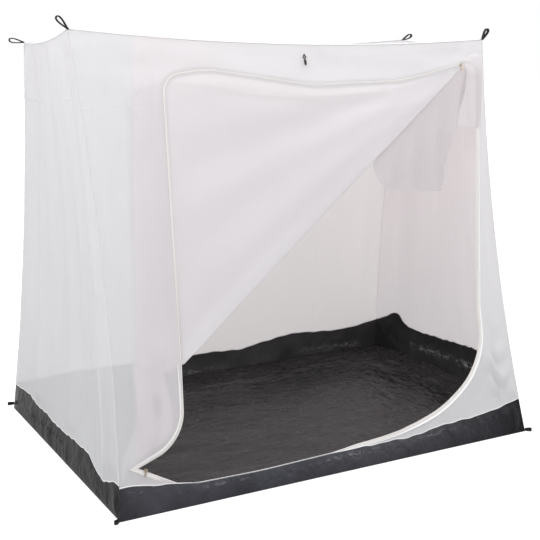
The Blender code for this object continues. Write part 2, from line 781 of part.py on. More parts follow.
def make_slider(name, frame, surface):
    """The slider: a flared body round both half chains, with its bail on the outside."""
    length = SLIDER_LENGTH
    sections = []
    for place, flare in ((-0.5, 1.0), (0.1, 1.04), (0.5, SLIDER_NOSE_FLARE)):
        section = slider_section(flare)
        sections.append([frame @ Vector((place * length, y, z)) for y, z in section])
    points, faces = loft(sections)
    body = add_object(name, points, faces, surface)
    fix_normals(body)
    plate = CHAIN / 2 + SLIDER_FACE_PLAY + SLIDER_PLATE
    bar = plate + BAIL_RISE
    for side in (-1, 1):
        foot = frame @ Vector((side * BAIL_SPAN / 2, 0, plate - SLIDER_PLATE / 2))
        head = frame @ Vector((side * BAIL_SPAN / 2, 0, bar + BAIL_BAR_RADIUS * 1.3))
        post = add_round_bar(name + "_post_%d" % side, foot, head, BAIL_POST / 2, 8)
        join_solid(body, post, "UNION")
    span = BAIL_SPAN / 2
    rod = add_round_bar(name + "_bar", frame @ Vector((-span, 0, bar)),
                        frame @ Vector((span, 0, bar)), BAIL_BAR_RADIUS)
    join_solid(body, rod, "UNION")
    return body


def make_pull(name, frame, surface):
    """The pull: a collar on the bail's bar with a tapered tab that lies down the wall."""
    bar = CHAIN / 2 + SLIDER_FACE_PLAY + SLIDER_PLATE + BAIL_RISE
    pivot = frame @ Vector((0, 0, bar))
    ahead = (frame.to_3x3() @ X_AXIS).normalized()
    down_wall = frame.to_3x3() @ Vector((0, 1, 0))
    if down_wall.z > 0:
        down_wall = -down_wall
    lean = math.radians(PULL_LEAN)
    hang = down_wall * math.cos(lean) + INWARD * math.sin(lean)
    out = ahead.cross(hang)
    half = PULL_COLLAR_LENGTH / 2
    collar = add_round_bar(name, pivot - ahead * half, pivot + ahead * half,
                           PULL_COLLAR_RADIUS, 14)
    collar.data.materials.clear()
    collar.data.materials.append(surface)
    outline = []
    for x, y in ((-half * 0.9, 0.0), (-half, 0.005), (-PULL_WIDTH / 2, 0.011),
                 (-PULL_WIDTH / 2, 0.8), (-PULL_WIDTH * 0.3, 1.0)):
        drop = y if y < 0.5 else y * PULL_LENGTH
        outline.append((x, drop + PULL_BORE_RADIUS + 0.0005 if y < 0.5 else drop))
    outline += [(-x, y) for x, y in reversed(outline)]
    thick = PULL_THICKNESS / 2
    rings = [[pivot + ahead * x + hang * y + out * z for x, y in outline] for z in (-thick, thick)]
    points, faces = loft(rings)
    tab = add_object(name + "_tab", points, faces, surface)
    fix_normals(tab)
    bore = add_round_bar(name + "_bore", pivot - ahead * half * 1.5, pivot + ahead * half * 1.5,
                         PULL_BORE_RADIUS, 12)
    join_solid(collar, tab, "UNION")
    join_solid(collar, bore, "DIFFERENCE")
    set_origin(collar, pivot)
    return collar


def set_origin(made, pivot):
    """Moves an object's origin to its joint without moving its surface."""
    shift = pivot - made.location
    for corner in made.data.vertices:
        corner.co -= shift
    made.location = pivot


# Loops of flat band

def teardrop(length, width, root_radius, steps, back_arc):
    """Half-width of a band loop from its root to its round end, as a closed outline."""
    upper = []
    for i in range(steps + 1):
        angle = math.pi * i / steps
        along_loop = length * (1 - math.cos(angle)) / 2
        swell = math.sin(angle) * math.sin(angle / 2) ** 2 / 0.6495
        upper.append((along_loop, root_radius + (width / 2 - root_radius) * swell))
    outline = list(upper)
    outline += [(x, -y) for x, y in reversed(upper)]
    if back_arc:
        for k in (1, 2, 3):
            angle = -math.pi / 2 - math.pi * k / 4
            outline.append((root_radius * math.cos(angle), root_radius * math.sin(angle)))
    return outline


def make_band_loop(name, pivot, along_dir, up_dir, length, width, band, band_width, root_radius,
                   surface):
    """A loop of flat band with a teardrop eye, turning about its root."""
    side = along_dir.cross(up_dir).normalized()
    steps = 12
    outer = teardrop(length, width, root_radius, steps, True)
    eye_start = length * 0.25
    eye_length = length - band - eye_start
    eye = [(x + eye_start, y) for x, y in
           teardrop(eye_length, width - 2 * band, 0.0003, steps, False)]
    solids = []
    for suffix, outline, reach in (("", outer, band_width / 2), ("_eye", eye, band_width)):
        rings = [[pivot + along_dir * x + up_dir * y + side * z for x, y in outline]
                 for z in (-reach, reach)]
        points, faces = loft(rings)
        made = add_object(name + suffix, points, faces, surface)
        fix_normals(made)
        solids.append(made)
    join_solid(solids[0], solids[1], "DIFFERENCE")
    set_origin(solids[0], pivot)
    return solids[0]


def loop_direction(corner, angle):
    """Outward and sideways direction at an angle above the horizontal."""
    outward = -1.0 if corner.endswith("left") else 1.0
    lean = math.radians(angle)
    return (Vector((outward * math.cos(lean), 0, math.sin(lean))),
            Vector((-outward * math.sin(lean), 0, math.cos(lean))))


def hang_pivot(corner):
    """Pivot of a hanging loop, far enough out that its root clears the wall and the roof."""
    out, _ = loop_direction(corner, 0.0)
    seat = CLOTH / 2 + LOOP_ROOT_RADIUS * HANG_SEAT_OUT
    return TOP[corner] + out * seat - DOWN * (LOOP_ROOT_RADIUS * HANG_SEAT_UP)


def make_hanging_loop(corner, surface):
    away, up = loop_direction(corner, HANG_ANGLES[corner])
    return make_band_loop("hanging_loop_" + corner, hang_pivot(corner), away, up,
                          HANG_LOOP_LENGTH, HANG_LOOP_WIDTH, HANG_BAND, HANG_BAND_WIDTH,
                          LOOP_ROOT_RADIUS, surface)


def peg_direction(corner):
    outward = -1.0 if corner.endswith("left") else 1.0
    turn = math.radians(PEG_TURNS[corner])
    return Vector((outward * math.cos(turn), -math.sin(turn), 0))


def peg_pivot(corner):
    """Pivot of a peg loop on the upright corner seam, just above the ground."""
    height = PEG_RISES[corner] + GROUNDSHEET + GAP + PEG_BAND_WIDTH / 2
    foot = corner_edge(corner)(height / HEIGHT)
    seat = LOOP_ROOT_RADIUS + PEG_GAPS[corner] - CLOTH / 2
    return foot + peg_direction(corner) * seat


def make_peg_loop(corner, surface):
    """A webbing loop that stands on edge at a corner of the tub, with an upright eye."""
    away = peg_direction(corner)
    return make_band_loop("peg_loop_" + corner, peg_pivot(corner), away,
                          Vector((-away.y, away.x, 0)), PEG_LOOP_LENGTH, PEG_LOOP_WIDTH,
                          PEG_BAND, PEG_BAND_WIDTH, LOOP_ROOT_RADIUS, surface)


# Door toggle

def toggle_anchor():
    """Root of the elastic on the outside of the front wall, free to turn there."""
    sweep = math.hypot(TOGGLE_BAND_WIDTH / 2, TOGGLE_ROOT_RADIUS)
    spot = toggle_spot()
    return front_point(spot.x, spot.y, -(CLOTH / 2 + GAP + sweep))


def down_wall(lean):
    """The way down the front wall, leaning out from it by some degrees."""
    turn = math.radians(lean)
    return -SLOPE * math.cos(turn) - INWARD * math.sin(turn)


def make_toggle_loop(surface):
    """The elastic loop sewn to the front wall."""
    return make_band_loop("toggle_loop", toggle_anchor(), down_wall(TOGGLE_LOOP_LEAN), X_AXIS,
                          TOGGLE_LOOP_LENGTH, TOGGLE_LOOP_WIDTH, TOGGLE_BAND, TOGGLE_BAND_WIDTH,
                          TOGGLE_ROOT_RADIUS, surface)


def toggle_pivot():
    """Where the toggle's eye rests on the bottom of the elastic loop."""
    reach = TOGGLE_LOOP_LENGTH - TOGGLE_BAND / 2
    return toggle_anchor() + down_wall(TOGGLE_LOOP_LEAN) * reach


def make_toggle(surface):
    """The toggle: an eye at the top and a turned, tapered barrel below it."""
    pivot = toggle_pivot()
    eye_half = TOGGLE_EYE_WIDTH / 2
    hang = down_wall(TOGGLE_LEAN)
    across = hang.cross(X_AXIS)
    ring = add_round_bar("door_toggle", pivot - X_AXIS * eye_half, pivot + X_AXIS * eye_half,
                         TOGGLE_EYE_RADIUS, 14)
    ring.data.materials.clear()
    ring.data.materials.append(surface)
    sides = 14
    sections = []
    for place, share in TOGGLE_PROFILE:
        drop = TOGGLE_EYE_BORE + 0.0006 + place * (TOGGLE_LENGTH - TOGGLE_EYE_BORE)
        centre = pivot + hang * drop
        radius = TOGGLE_RADIUS * share
        sections.append([centre + (X_AXIS * math.cos(2 * math.pi * k / sides)
                                   + across * math.sin(2 * math.pi * k / sides)) * radius
                         for k in range(sides)])
    points, faces = loft(sections)
    barrel = add_object("door_toggle_barrel", points, faces, surface)
    fix_normals(barrel)
    bore = add_round_bar("door_toggle_bore", pivot - X_AXIS * eye_half * 2,
                         pivot + X_AXIS * eye_half * 2, TOGGLE_EYE_BORE, 12)
    join_solid(ring, barrel, "UNION")
    join_solid(ring, bore, "DIFFERENCE")
    set_origin(ring, pivot)
    return ring


def build():
    clear_scene()
    white = material("white_polyester", WHITE_CLOTH, 0.85)
    dark = material("grey_groundsheet", DARK_SHEET, 0.45)
    tape = material("cream_zip_tape", CREAM_TAPE, 0.80)
    chain = material("cream_zip_chain", CREAM_TAPE, 0.45)
    band = material("black_band", BLACK_BAND, 0.80)
    plastic = material("black_plastic", BLACK_BAND, 0.40)
    brass = material("brass", BRASS, 0.35, 1.0)

    make_floor(dark)
    make_tub_front(dark)
    make_tub_wall("tub_wall_left", "left", "base_left", TUB_LEFT, dark)
    make_tub_wall("tub_wall_right", "right", "base_right", TUB_RIGHT, dark)
    make_tub_wall("tub_wall_back", "back", "base_back", TUB_BACK, dark)

    make_front_wall(white)
    make_side_wall("left_wall", "left", "base_left", TUB_LEFT, WALL_FOLDS, WALL_FOLD_DEPTH, white)
    make_side_wall("right_wall", "right", "base_right", TUB_RIGHT, WALL_FOLDS, WALL_FOLD_DEPTH, white)
    make_side_wall("back_wall", "back", "base_back", TUB_BACK, WALL_FOLDS, WALL_FOLD_DEPTH, white)
    make_roof(white)

    make_ring_band("zip_tape_wall", GAP, TAPE_WIDTH, TAPE, tape)
    make_ring_band("zip_chain_wall", WALL_CHAIN_START, CHAIN_WIDTH, CHAIN, chain)
    make_closed_band("zip_chain_flap", FLAP_CHAIN_START, CHAIN_WIDTH, CHAIN, chain)
    make_closed_band("zip_tape_flap", FLAP_TAPE_START, TAPE_WIDTH, TAPE, tape)
    make_flap_front(white)
    make_flap_free(white)
    make_free_band("zip_tape_free", GAP, TAPE_WIDTH, TAPE, tape)
    make_free_band("zip_chain_free", GAP + TAPE_WIDTH + GAP, CHAIN_WIDTH, CHAIN, chain)

    middle = WALL_CHAIN_START + CHAIN_WIDTH + CHAIN_SLOT / 2
    line = offset_outline(DOOR_OUTLINE, middle)
    start, end = line[ZIP_TOP_END], line[ZIP_TOP_END - 1]
    run = (end - start).normalized()
    spot = start + run * UPPER_SLIDER_INSET
    upper = slider_frame(spot.x, spot.y, run)
    make_slider("zip_slider_upper", upper, brass)
    make_pull("zip_pull_upper", upper, brass)
    sill = (line[1] - line[0]).normalized()
    spot = line[0] + sill * LOWER_SLIDER_INSET
    lower = slider_frame(spot.x, spot.y, sill)
    make_slider("zip_slider_lower", lower, brass)
    make_pull("zip_pull_lower", lower, brass)

    for corner in BASE:
        make_hanging_loop(corner, band)
        make_peg_loop(corner, band)
    make_toggle_loop(band)
    make_toggle(plastic)


build()
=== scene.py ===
import math

import bpy
import numpy as np
from mathutils import Matrix, Vector, noise
from mathutils.geometry import delaunay_2d_cdt


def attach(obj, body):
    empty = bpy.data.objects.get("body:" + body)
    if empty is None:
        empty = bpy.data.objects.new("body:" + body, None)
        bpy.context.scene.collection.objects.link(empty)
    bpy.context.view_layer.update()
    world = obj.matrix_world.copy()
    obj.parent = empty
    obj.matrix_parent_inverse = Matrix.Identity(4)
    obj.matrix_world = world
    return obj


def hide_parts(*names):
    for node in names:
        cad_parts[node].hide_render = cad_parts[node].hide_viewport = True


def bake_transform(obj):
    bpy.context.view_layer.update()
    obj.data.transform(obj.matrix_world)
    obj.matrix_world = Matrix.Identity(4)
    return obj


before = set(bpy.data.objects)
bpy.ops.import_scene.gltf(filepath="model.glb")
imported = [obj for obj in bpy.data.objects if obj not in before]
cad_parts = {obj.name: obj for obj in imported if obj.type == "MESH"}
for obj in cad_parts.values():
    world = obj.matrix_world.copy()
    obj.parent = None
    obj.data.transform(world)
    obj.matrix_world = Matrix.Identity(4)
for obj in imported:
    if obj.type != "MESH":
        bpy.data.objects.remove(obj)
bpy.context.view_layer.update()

# The pitched tent, as in the frame
HEIGHT = 1.75
DEPTH = 1.40
FRONT_LEAN = 0.406
RAISED_CORNER = 0.047
SLOPE_LENGTH = math.hypot(FRONT_LEAN, HEIGHT)
X_AXIS = np.array((1.0, 0.0, 0.0))
DOWN = np.array((0.0, 0.0, -1.0))
SLOPE = np.array((0.0, FRONT_LEAN, HEIGHT)) / SLOPE_LENGTH
INWARD = np.array((0.0, HEIGHT, -FRONT_LEAN)) / SLOPE_LENGTH
BASE = {"front_left": (-0.966, -0.700, 0.0), "front_right": (0.966, -0.700, 0.0),
        "back_left": (-1.044, 0.700, 0.0), "back_right": (1.080, 0.740, 0.0)}
TOP = {"front_left": (-0.956, -0.700 + FRONT_LEAN * (1 + RAISED_CORNER / HEIGHT), 1.797),
       "front_right": (0.956, -0.294, 1.75), "back_left": (-0.967, 0.363, 1.75),
       "back_right": (0.967, 0.363, 1.75)}
BASE = {name: np.array(p) for name, p in BASE.items()}
TOP = {name: np.array(p) for name, p in TOP.items()}
BOWS = {"front_left": 0.035, "front_right": -0.049, "back_left": 0.024, "back_right": -0.030}


def mix(a, b, t):
    return a + (b - a) * t


def hump(t):
    return 4.0 * t * (1.0 - t)


def smooth(low, high, x):
    t = np.clip((np.asarray(x, float) - low) / (high - low), 0.0, 1.0)
    return t * t * (3.0 - 2.0 * t)


def column(values):
    """A list of numbers as a column, so that it multiplies points."""
    return np.asarray(values, float).reshape(-1, 1)


def bowed(start, end, way, rise):
    """A line from start to end, bowed that way by the rise at its middle."""
    return lambda t: mix(start, end, column(t)) + way * (rise * hump(column(t)))


def corner_edge(corner):
    return bowed(BASE[corner], TOP[corner], X_AXIS, BOWS[corner])


def hung_edge(first, last, ends, fall, sag):
    return bowed(ends[first], ends[last], fall, sag)


EDGES = {
    "base_front": hung_edge("front_left", "front_right", BASE, X_AXIS, 0.0),
    "base_back": hung_edge("back_left", "back_right", BASE, X_AXIS, 0.0),
    "base_left": hung_edge("front_left", "back_left", BASE, X_AXIS, 0.0),
    "base_right": hung_edge("front_right", "back_right", BASE, X_AXIS, 0.120),
    "top_front": hung_edge("front_left", "front_right", TOP, -SLOPE, 0.040),
    "top_back": hung_edge("back_left", "back_right", TOP, DOWN, 0.035),
    "top_left": hung_edge("front_left", "back_left", TOP, DOWN, 0.022),
    "top_right": hung_edge("front_right", "back_right", TOP, DOWN, 0.022),
}


def patch(low, high, left, right):
    """A surface spread between four edges that share their corners; takes lists of u and v."""
    ends = low([0.0]), low([1.0]), high([0.0]), high([1.0])

    def surface(u, v):
        cu, cv = column(u), column(v)
        across = mix(low(u), high(u), cv)
        upright = mix(left(v), right(v), cu)
        flat = mix(mix(ends[0], ends[1], cu), mix(ends[2], ends[3], cu), cv)
        return across + upright - flat
    return surface


WALLS = {
    "left": patch(EDGES["base_left"], EDGES["top_left"],
                  corner_edge("front_left"), corner_edge("back_left")),
    "right": patch(EDGES["base_right"], EDGES["top_right"],
                   corner_edge("front_right"), corner_edge("back_right")),
    "back": patch(EDGES["base_back"], EDGES["top_back"],
                  corner_edge("back_left"), corner_edge("back_right")),
    "roof": patch(EDGES["top_front"], EDGES["top_back"], EDGES["top_left"], EDGES["top_right"]),
}
OUTSIDE = {"left": -X_AXIS, "right": X_AXIS, "back": np.array((0.0, 1.0, 0.0)), "roof": -DOWN}

# The tub's top edge: place along each side from its first corner, and height
TUB_TOP = {
    "front": ((0.0, 0.033, 0.09, 0.12, 0.145, 0.169, 0.235, 0.308, 0.353, 0.401, 0.469, 0.541,
               0.61, 0.683, 0.748, 0.81, 0.873, 0.92, 1.0),
              (0.125, 0.125, 0.105, 0.1000, 0.0934, 0.0860, 0.0841, 0.0816, 0.0840, 0.0863, 0.0895,
               0.0890, 0.0875, 0.086, 0.103, 0.112, 0.117, 0.126, 0.157)),
    "left": ((0.0, 0.04, 0.12, 0.165, 0.25, 0.364, 0.50, 0.57, 0.64, 0.76, 0.83, 0.97, 1.0),
             (0.127, 0.128, 0.087, 0.099, 0.142, 0.138, 0.128, 0.129, 0.137, 0.133, 0.151, 0.133,
              0.133)),
    "back": ((0.0, 0.15, 0.30, 0.431, 0.50, 0.58, 0.65, 0.726, 0.80, 0.873, 0.915, 0.948, 0.98,
              1.0),
             (0.133, 0.150, 0.142, 0.138, 0.134, 0.124, 0.148, 0.173, 0.160, 0.148, 0.150, 0.159,
              0.170, 0.175)),
    "right": ((0.0, 0.12, 0.25, 0.32, 0.42, 0.52, 0.624, 0.70, 0.768, 0.82, 0.842, 0.856, 0.88,
               0.905, 0.95, 1.0),
              (0.157, 0.195, 0.230, 0.240, 0.226, 0.208, 0.194, 0.188, 0.184, 0.196, 0.212, 0.246,
               0.254, 0.244, 0.208, 0.175)),
}


def beside_sill(share):
    """1 where the front tub wall's top edge runs close under the doorway's sill, else 0."""
    return smooth(0.10, 0.13, share) * smooth(0.56, 0.50, share)


def tub_top(side, t):
    """Height of the tub's top edge, with its slack taken up in small waves."""
    t = np.clip(np.asarray(t, float), 0.0, 1.0)
    places, heights = TUB_TOP[side]
    fine = np.linspace(0.0, 1.0, 241)
    line = np.interp(fine, places, heights)
    kernel = np.hanning(9) / np.hanning(9).sum()
    line = np.convolve(np.pad(line, 4, mode="edge"), kernel, mode="valid")
    waves = 0.0028 * np.sin(fine * 71.0 + 0.6) * np.sin(fine * 23.0) + 0.0016 * np.sin(fine * 139.0)
    if side == "front":
        waves = waves * (1 - 0.97 * beside_sill(fine))
    line = line + waves * hump(fine) ** 0.3
    return np.interp(t, fine, line)


def wrinkles(points, scale, octaves=3, seed=0.0):
    """Smooth noise from about -1 to 1 at each point; the same on every run."""
    offset = Vector((seed, seed * 1.7, seed * 0.3))
    return np.array([noise.fractal(Vector(p) * scale + offset, 0.9, 2.1, octaves) for p in points])


def unit(vectors):
    return vectors / np.linalg.norm(vectors, axis=1, keepdims=True)


def run_lengths(line):
    """Length along a line up to each of its points."""
    return np.concatenate(((0.0,), np.cumsum(np.linalg.norm(np.diff(line, axis=0), axis=1))))


def strip_faces(spans, count):
    """Four-sided faces between rows of points, with so many points in each row."""
    corner = (np.arange(spans)[:, None] * count + np.arange(count - 1)).ravel()
    return np.stack((corner, corner + 1, corner + count + 1, corner + count), axis=1)


def grid(columns, rows):
    """u and v of every point of a grid, and its four-sided faces."""
    u, v = np.meshgrid(np.linspace(0, 1, columns + 1), np.linspace(0, 1, rows + 1))
    return u.ravel(), v.ravel(), strip_faces(rows, columns + 1)


def new_piece(name, points, faces, surface, uvs, body="tent"):
    mesh = bpy.data.meshes.new(name)
    mesh.from_pydata([tuple(map(float, p)) for p in points], [],
                     [tuple(map(int, f)) for f in faces])
    layer = mesh.uv_layers.new(name="cloth")
    order = np.empty(len(mesh.loops), int)
    mesh.loops.foreach_get("vertex_index", order)
    layer.data.foreach_set("uv", np.asarray(uvs, float)[order].ravel())
    mesh.materials.append(surface)
    mesh.shade_smooth()
    made = bpy.data.objects.new(name, mesh)
    bpy.context.scene.collection.objects.link(made)
    if body is not None:
        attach(made, body)
    return made


def new_strip(name, rows, lengths, width, surface, thickness, body="tent", closed=False):
    """A band of some thickness made of rows of points; its UV runs along and across it."""
    spans, count = len(rows) - 1, len(lengths)
    faces = list(strip_faces(spans, count))
    if closed:
        for last in range(count - 1, spans * count, count):
            faces.append((last, last - count + 1, last + 1, last + count))
    across = np.broadcast_to(width, count)
    uvs = [np.stack((lengths, across * (j / spans)), axis=1) for j in range(spans + 1)]
    made = new_piece(name, np.vstack(rows), faces, surface, np.vstack(uvs), body)
    solid = made.modifiers.new("thickness", "SOLIDIFY")
    solid.thickness = thickness
    solid.offset = 0.0
    return made


# Materials

def add_node(tree, kind, values=None, **settings):
    made = tree.nodes.new(kind)
    for key, value in settings.items():
        setattr(made, key, value)
    for key, value in (values or {}).items():
        made.inputs[key].default_value = value
    return made


def node_material(name, values):
    """A material, its node tree and its shader, with these constants on the shader's sockets."""
    made = bpy.data.materials.new(name)
    made.use_nodes = True
    shader = made.node_tree.nodes["Principled BSDF"]
    for key, value in values.items():
        shader.inputs[key].default_value = value
    return made, made.node_tree, shader


def feed(tree, slot, value):
    """Links an output to a slot, or writes a constant to it."""
    if isinstance(value, bpy.types.NodeSocket):
        tree.links.new(value, slot)
    else:
        slot.default_value = value


def math_node(tree, operation, a, b=None, c=None, clamp=False):
    made = add_node(tree, "ShaderNodeMath", operation=operation, use_clamp=clamp)
    for slot, value in zip(made.inputs, (a, b, c)):
        if value is not None:
            feed(tree, slot, value)
    return made.outputs[0]


def mixed(tree, factor, a, b, blend_type="MIX"):
    made = add_node(tree, "ShaderNodeMix", data_type="RGBA", blend_type=blend_type)
    for slot, value in (("Factor", factor), ("A", a), ("B", b)):
        feed(tree, made.inputs[slot], value)
    return made.outputs["Result"]


def mixed_shader(tree, factor, first, second):
    made = add_node(tree, "ShaderNodeMixShader")
    feed(tree, made.inputs[0], factor)
    tree.links.new(first.outputs[0], made.inputs[1])
    tree.links.new(second.outputs[0], made.inputs[2])
    return made


def ramp(tree, source, stops):
    made = add_node(tree, "ShaderNodeValToRGB")
    elements = made.color_ramp.elements
    while len(elements) < len(stops):
        elements.new(0.5)
    for element, (place, colour) in zip(elements, stops):
        element.position = place
        element.color = (*colour, 1.0)
    tree.links.new(source, made.inputs[0])
    return made.outputs["Color"]


def shades(tree, source, tone, low_share, low_place, high_place):
    """A tone that darkens to a share of itself where the source is low."""
    low = tuple(c * low_share for c in tone)
    return ramp(tree, source, ((low_place, low), (high_place, tone)))


def spread(tree, source, **ends):
    """A value over another range: From_Min, From_Max, To_Min and To_Max."""
    made = add_node(tree, "ShaderNodeMapRange",
                    {key.replace("_", " "): value for key, value in ends.items()})
    tree.links.new(source, made.inputs["Value"])
    return made.outputs["Result"]


def bump(tree, height, strength, distance, below=None):
    made = add_node(tree, "ShaderNodeBump", {"Strength": strength, "Distance": distance})
    tree.links.new(height, made.inputs["Height"])
    if below is not None:
        tree.links.new(below, made.inputs["Normal"])
    return made.outputs["Normal"]


def texture(tree, kind, vector, values, **settings):
    made = add_node(tree, kind, values, **settings)
    tree.links.new(vector, made.inputs["Vector"])
    return made.outputs


def noise_value(tree, vector, **values):
    """A noise texture's value; Scale, Detail, Roughness and Distortion are its inputs."""
    return texture(tree, "ShaderNodeTexNoise", vector, values)["Fac"]


def scaled(tree, vector, scale):
    made = add_node(tree, "ShaderNodeMapping", {"Scale": scale})
    tree.links.new(vector, made.inputs["Vector"])
    return made.outputs["Vector"]


def axes_of(tree, vector):
    made = add_node(tree, "ShaderNodeSeparateXYZ")
    tree.links.new(vector, made.inputs[0])
    return made.outputs


WAVE_DIVISOR = 6.283  # 20 / 6.283 bands of a wave texture lie in one unit of what it is given


def woven(tree, uv, density):
    """Height of a plain weave, with half as many threads to the metre as its density says."""
    count = density / WAVE_DIVISOR
    warp, weft = (texture(tree, "ShaderNodeTexWave", scaled(tree, uv, scale),
                          {"Scale": 1.0, "Distortion": 0.3, "Detail": 0.0},
                          bands_direction=direction)["Fac"]
                  for direction, scale in (("X", (count, 0, 0)), ("Y", (0, count, 0))))
    return math_node(tree, "MULTIPLY", warp, weft)


def slanting(tree, uv, across, along, start, stops):
    """Colours that follow one another over a metre that runs across the UV in a slanting line."""
    axes = axes_of(tree, uv)
    place = math_node(tree, "MULTIPLY_ADD", axes["X"], across, start)
    place = math_node(tree, "MULTIPLY_ADD", axes["Y"], along, place)
    return ramp(tree, place, stops)


def with_creases(tree, normal, uv, place, creases):
    """Adds sharp creases at places along the U or V, which wander a little and come and go."""
    wander = noise_value(tree, place, Scale=3.0, Detail=2.0)
    jitter = noise_value(tree, place, Scale=90.0, Detail=2.0)
    shift = math_node(tree, "MULTIPLY_ADD", wander, 0.030, -0.015)
    shift = math_node(tree, "MULTIPLY_ADD", jitter, 0.004, shift)
    axes = axes_of(tree, uv)
    patchy = noise_value(tree, place, Scale=9.0, Detail=2.0)
    keep = math_node(tree, "SUBTRACT", patchy, 0.36)
    keep = math_node(tree, "MULTIPLY", keep, 5.0, clamp=True)
    for axis, start, strength in creases:
        line = math_node(tree, "ADD", axes[axis], shift)
        line = math_node(tree, "ABSOLUTE", math_node(tree, "SUBTRACT", line, start))
        line = math_node(tree, "DIVIDE", line, 0.0045)
        line = math_node(tree, "SUBTRACT", 1.0, line, clamp=True)
        line = math_node(tree, "MULTIPLY", line, keep)
        normal = bump(tree, line, strength, 0.0022, normal)
    return normal


def sheer_cloth(name, tone, inner, see_through, creases=(), painted_shading=None, clearer=None):
    """Thin white polyester: light comes through it, and what lies behind shows faintly.
    Its face within the tent has a tone of its own, lighter or darker than its outer face: painted
    light and shade.
    Creases from packing run across the U or V of its UV, each at a place in metres with a strength.
    Painted light and shade can change its colour in a slanting band across the UV. Where slack
    doubles the cloth, less shows
    through it: clearer gives two places across it and how much shows at each."""
    made, tree, shader = node_material(name, {"Roughness": 0.72, "Specular IOR Level": 0.25,
                                              "Sheen Weight": 0.08})
    coordinates = add_node(tree, "ShaderNodeTexCoord").outputs
    uv, place = coordinates["UV"], coordinates["Object"]
    blotch = noise_value(tree, place, Scale=2.2, Detail=3.0)
    side = add_node(tree, "ShaderNodeNewGeometry").outputs["Backfacing"]
    colour = mixed(tree, side, shades(tree, blotch, tone, 0.975, 0.35, 0.65), (*inner, 1.0))
    # Painted light and shade, multiplied into the colour in a slanting band
    if painted_shading:
        colour = mixed(tree, 1.0, colour, slanting(tree, uv, *painted_shading), "MULTIPLY")
    tree.links.new(colour, shader.inputs["Base Color"])
    normal = bump(tree, woven(tree, uv, 2600), 0.12, 0.00015)
    crumple = noise_value(tree, place, Scale=14.0, Detail=4.0, Roughness=0.55)
    normal = bump(tree, crumple, 0.11, 0.006, normal)
    if creases:
        normal = with_creases(tree, normal, uv, place, creases)
    tree.links.new(normal, shader.inputs["Normal"])
    glow = add_node(tree, "ShaderNodeBsdfTranslucent")
    tree.links.new(colour, glow.inputs["Color"])
    tree.links.new(normal, glow.inputs["Normal"])
    if clearer:
        near, far, at_near, at_far = clearer
        see_through = spread(tree, axes_of(tree, uv)["X"], From_Min=near, From_Max=far,
                             To_Min=at_near, To_Max=at_far)
    sheer = mixed_shader(tree, see_through, mixed_shader(tree, 0.38, shader, glow),
                         add_node(tree, "ShaderNodeBsdfTransparent"))
    tree.links.new(sheer.outputs[0], tree.nodes["Material Output"].inputs["Surface"])
    return made


def painted_glint_line(tree, uv, place, height):
    """Painted glints in small broken spots along a line that wanders about a V of the UV, in
    metres.
    """
    wander = noise_value(tree, place, Scale=5.0, Detail=3.0)
    line = math_node(tree, "MULTIPLY_ADD", wander, 0.05, axes_of(tree, uv)["Y"])
    line = math_node(tree, "ABSOLUTE", math_node(tree, "SUBTRACT", line, height + 0.025))
    line = math_node(tree, "SUBTRACT", 1.0, math_node(tree, "DIVIDE", line, 0.020), clamp=True)
    glint_spots = noise_value(tree, scaled(tree, place, (1.0, 1.0, 2.6)),
                        Scale=24.0, Detail=4.0, Roughness=0.6, Distortion=1.4)
    glint_spots = math_node(tree, "MULTIPLY_ADD", glint_spots, 9.0, -4.5, clamp=True)
    patches = noise_value(tree, place, Scale=2.6, Detail=1.0)
    patches = math_node(tree, "MULTIPLY_ADD", patches, 6.0, -2.5, clamp=True)
    return math_node(tree, "MULTIPLY", math_node(tree, "MULTIPLY", glint_spots, line), patches)


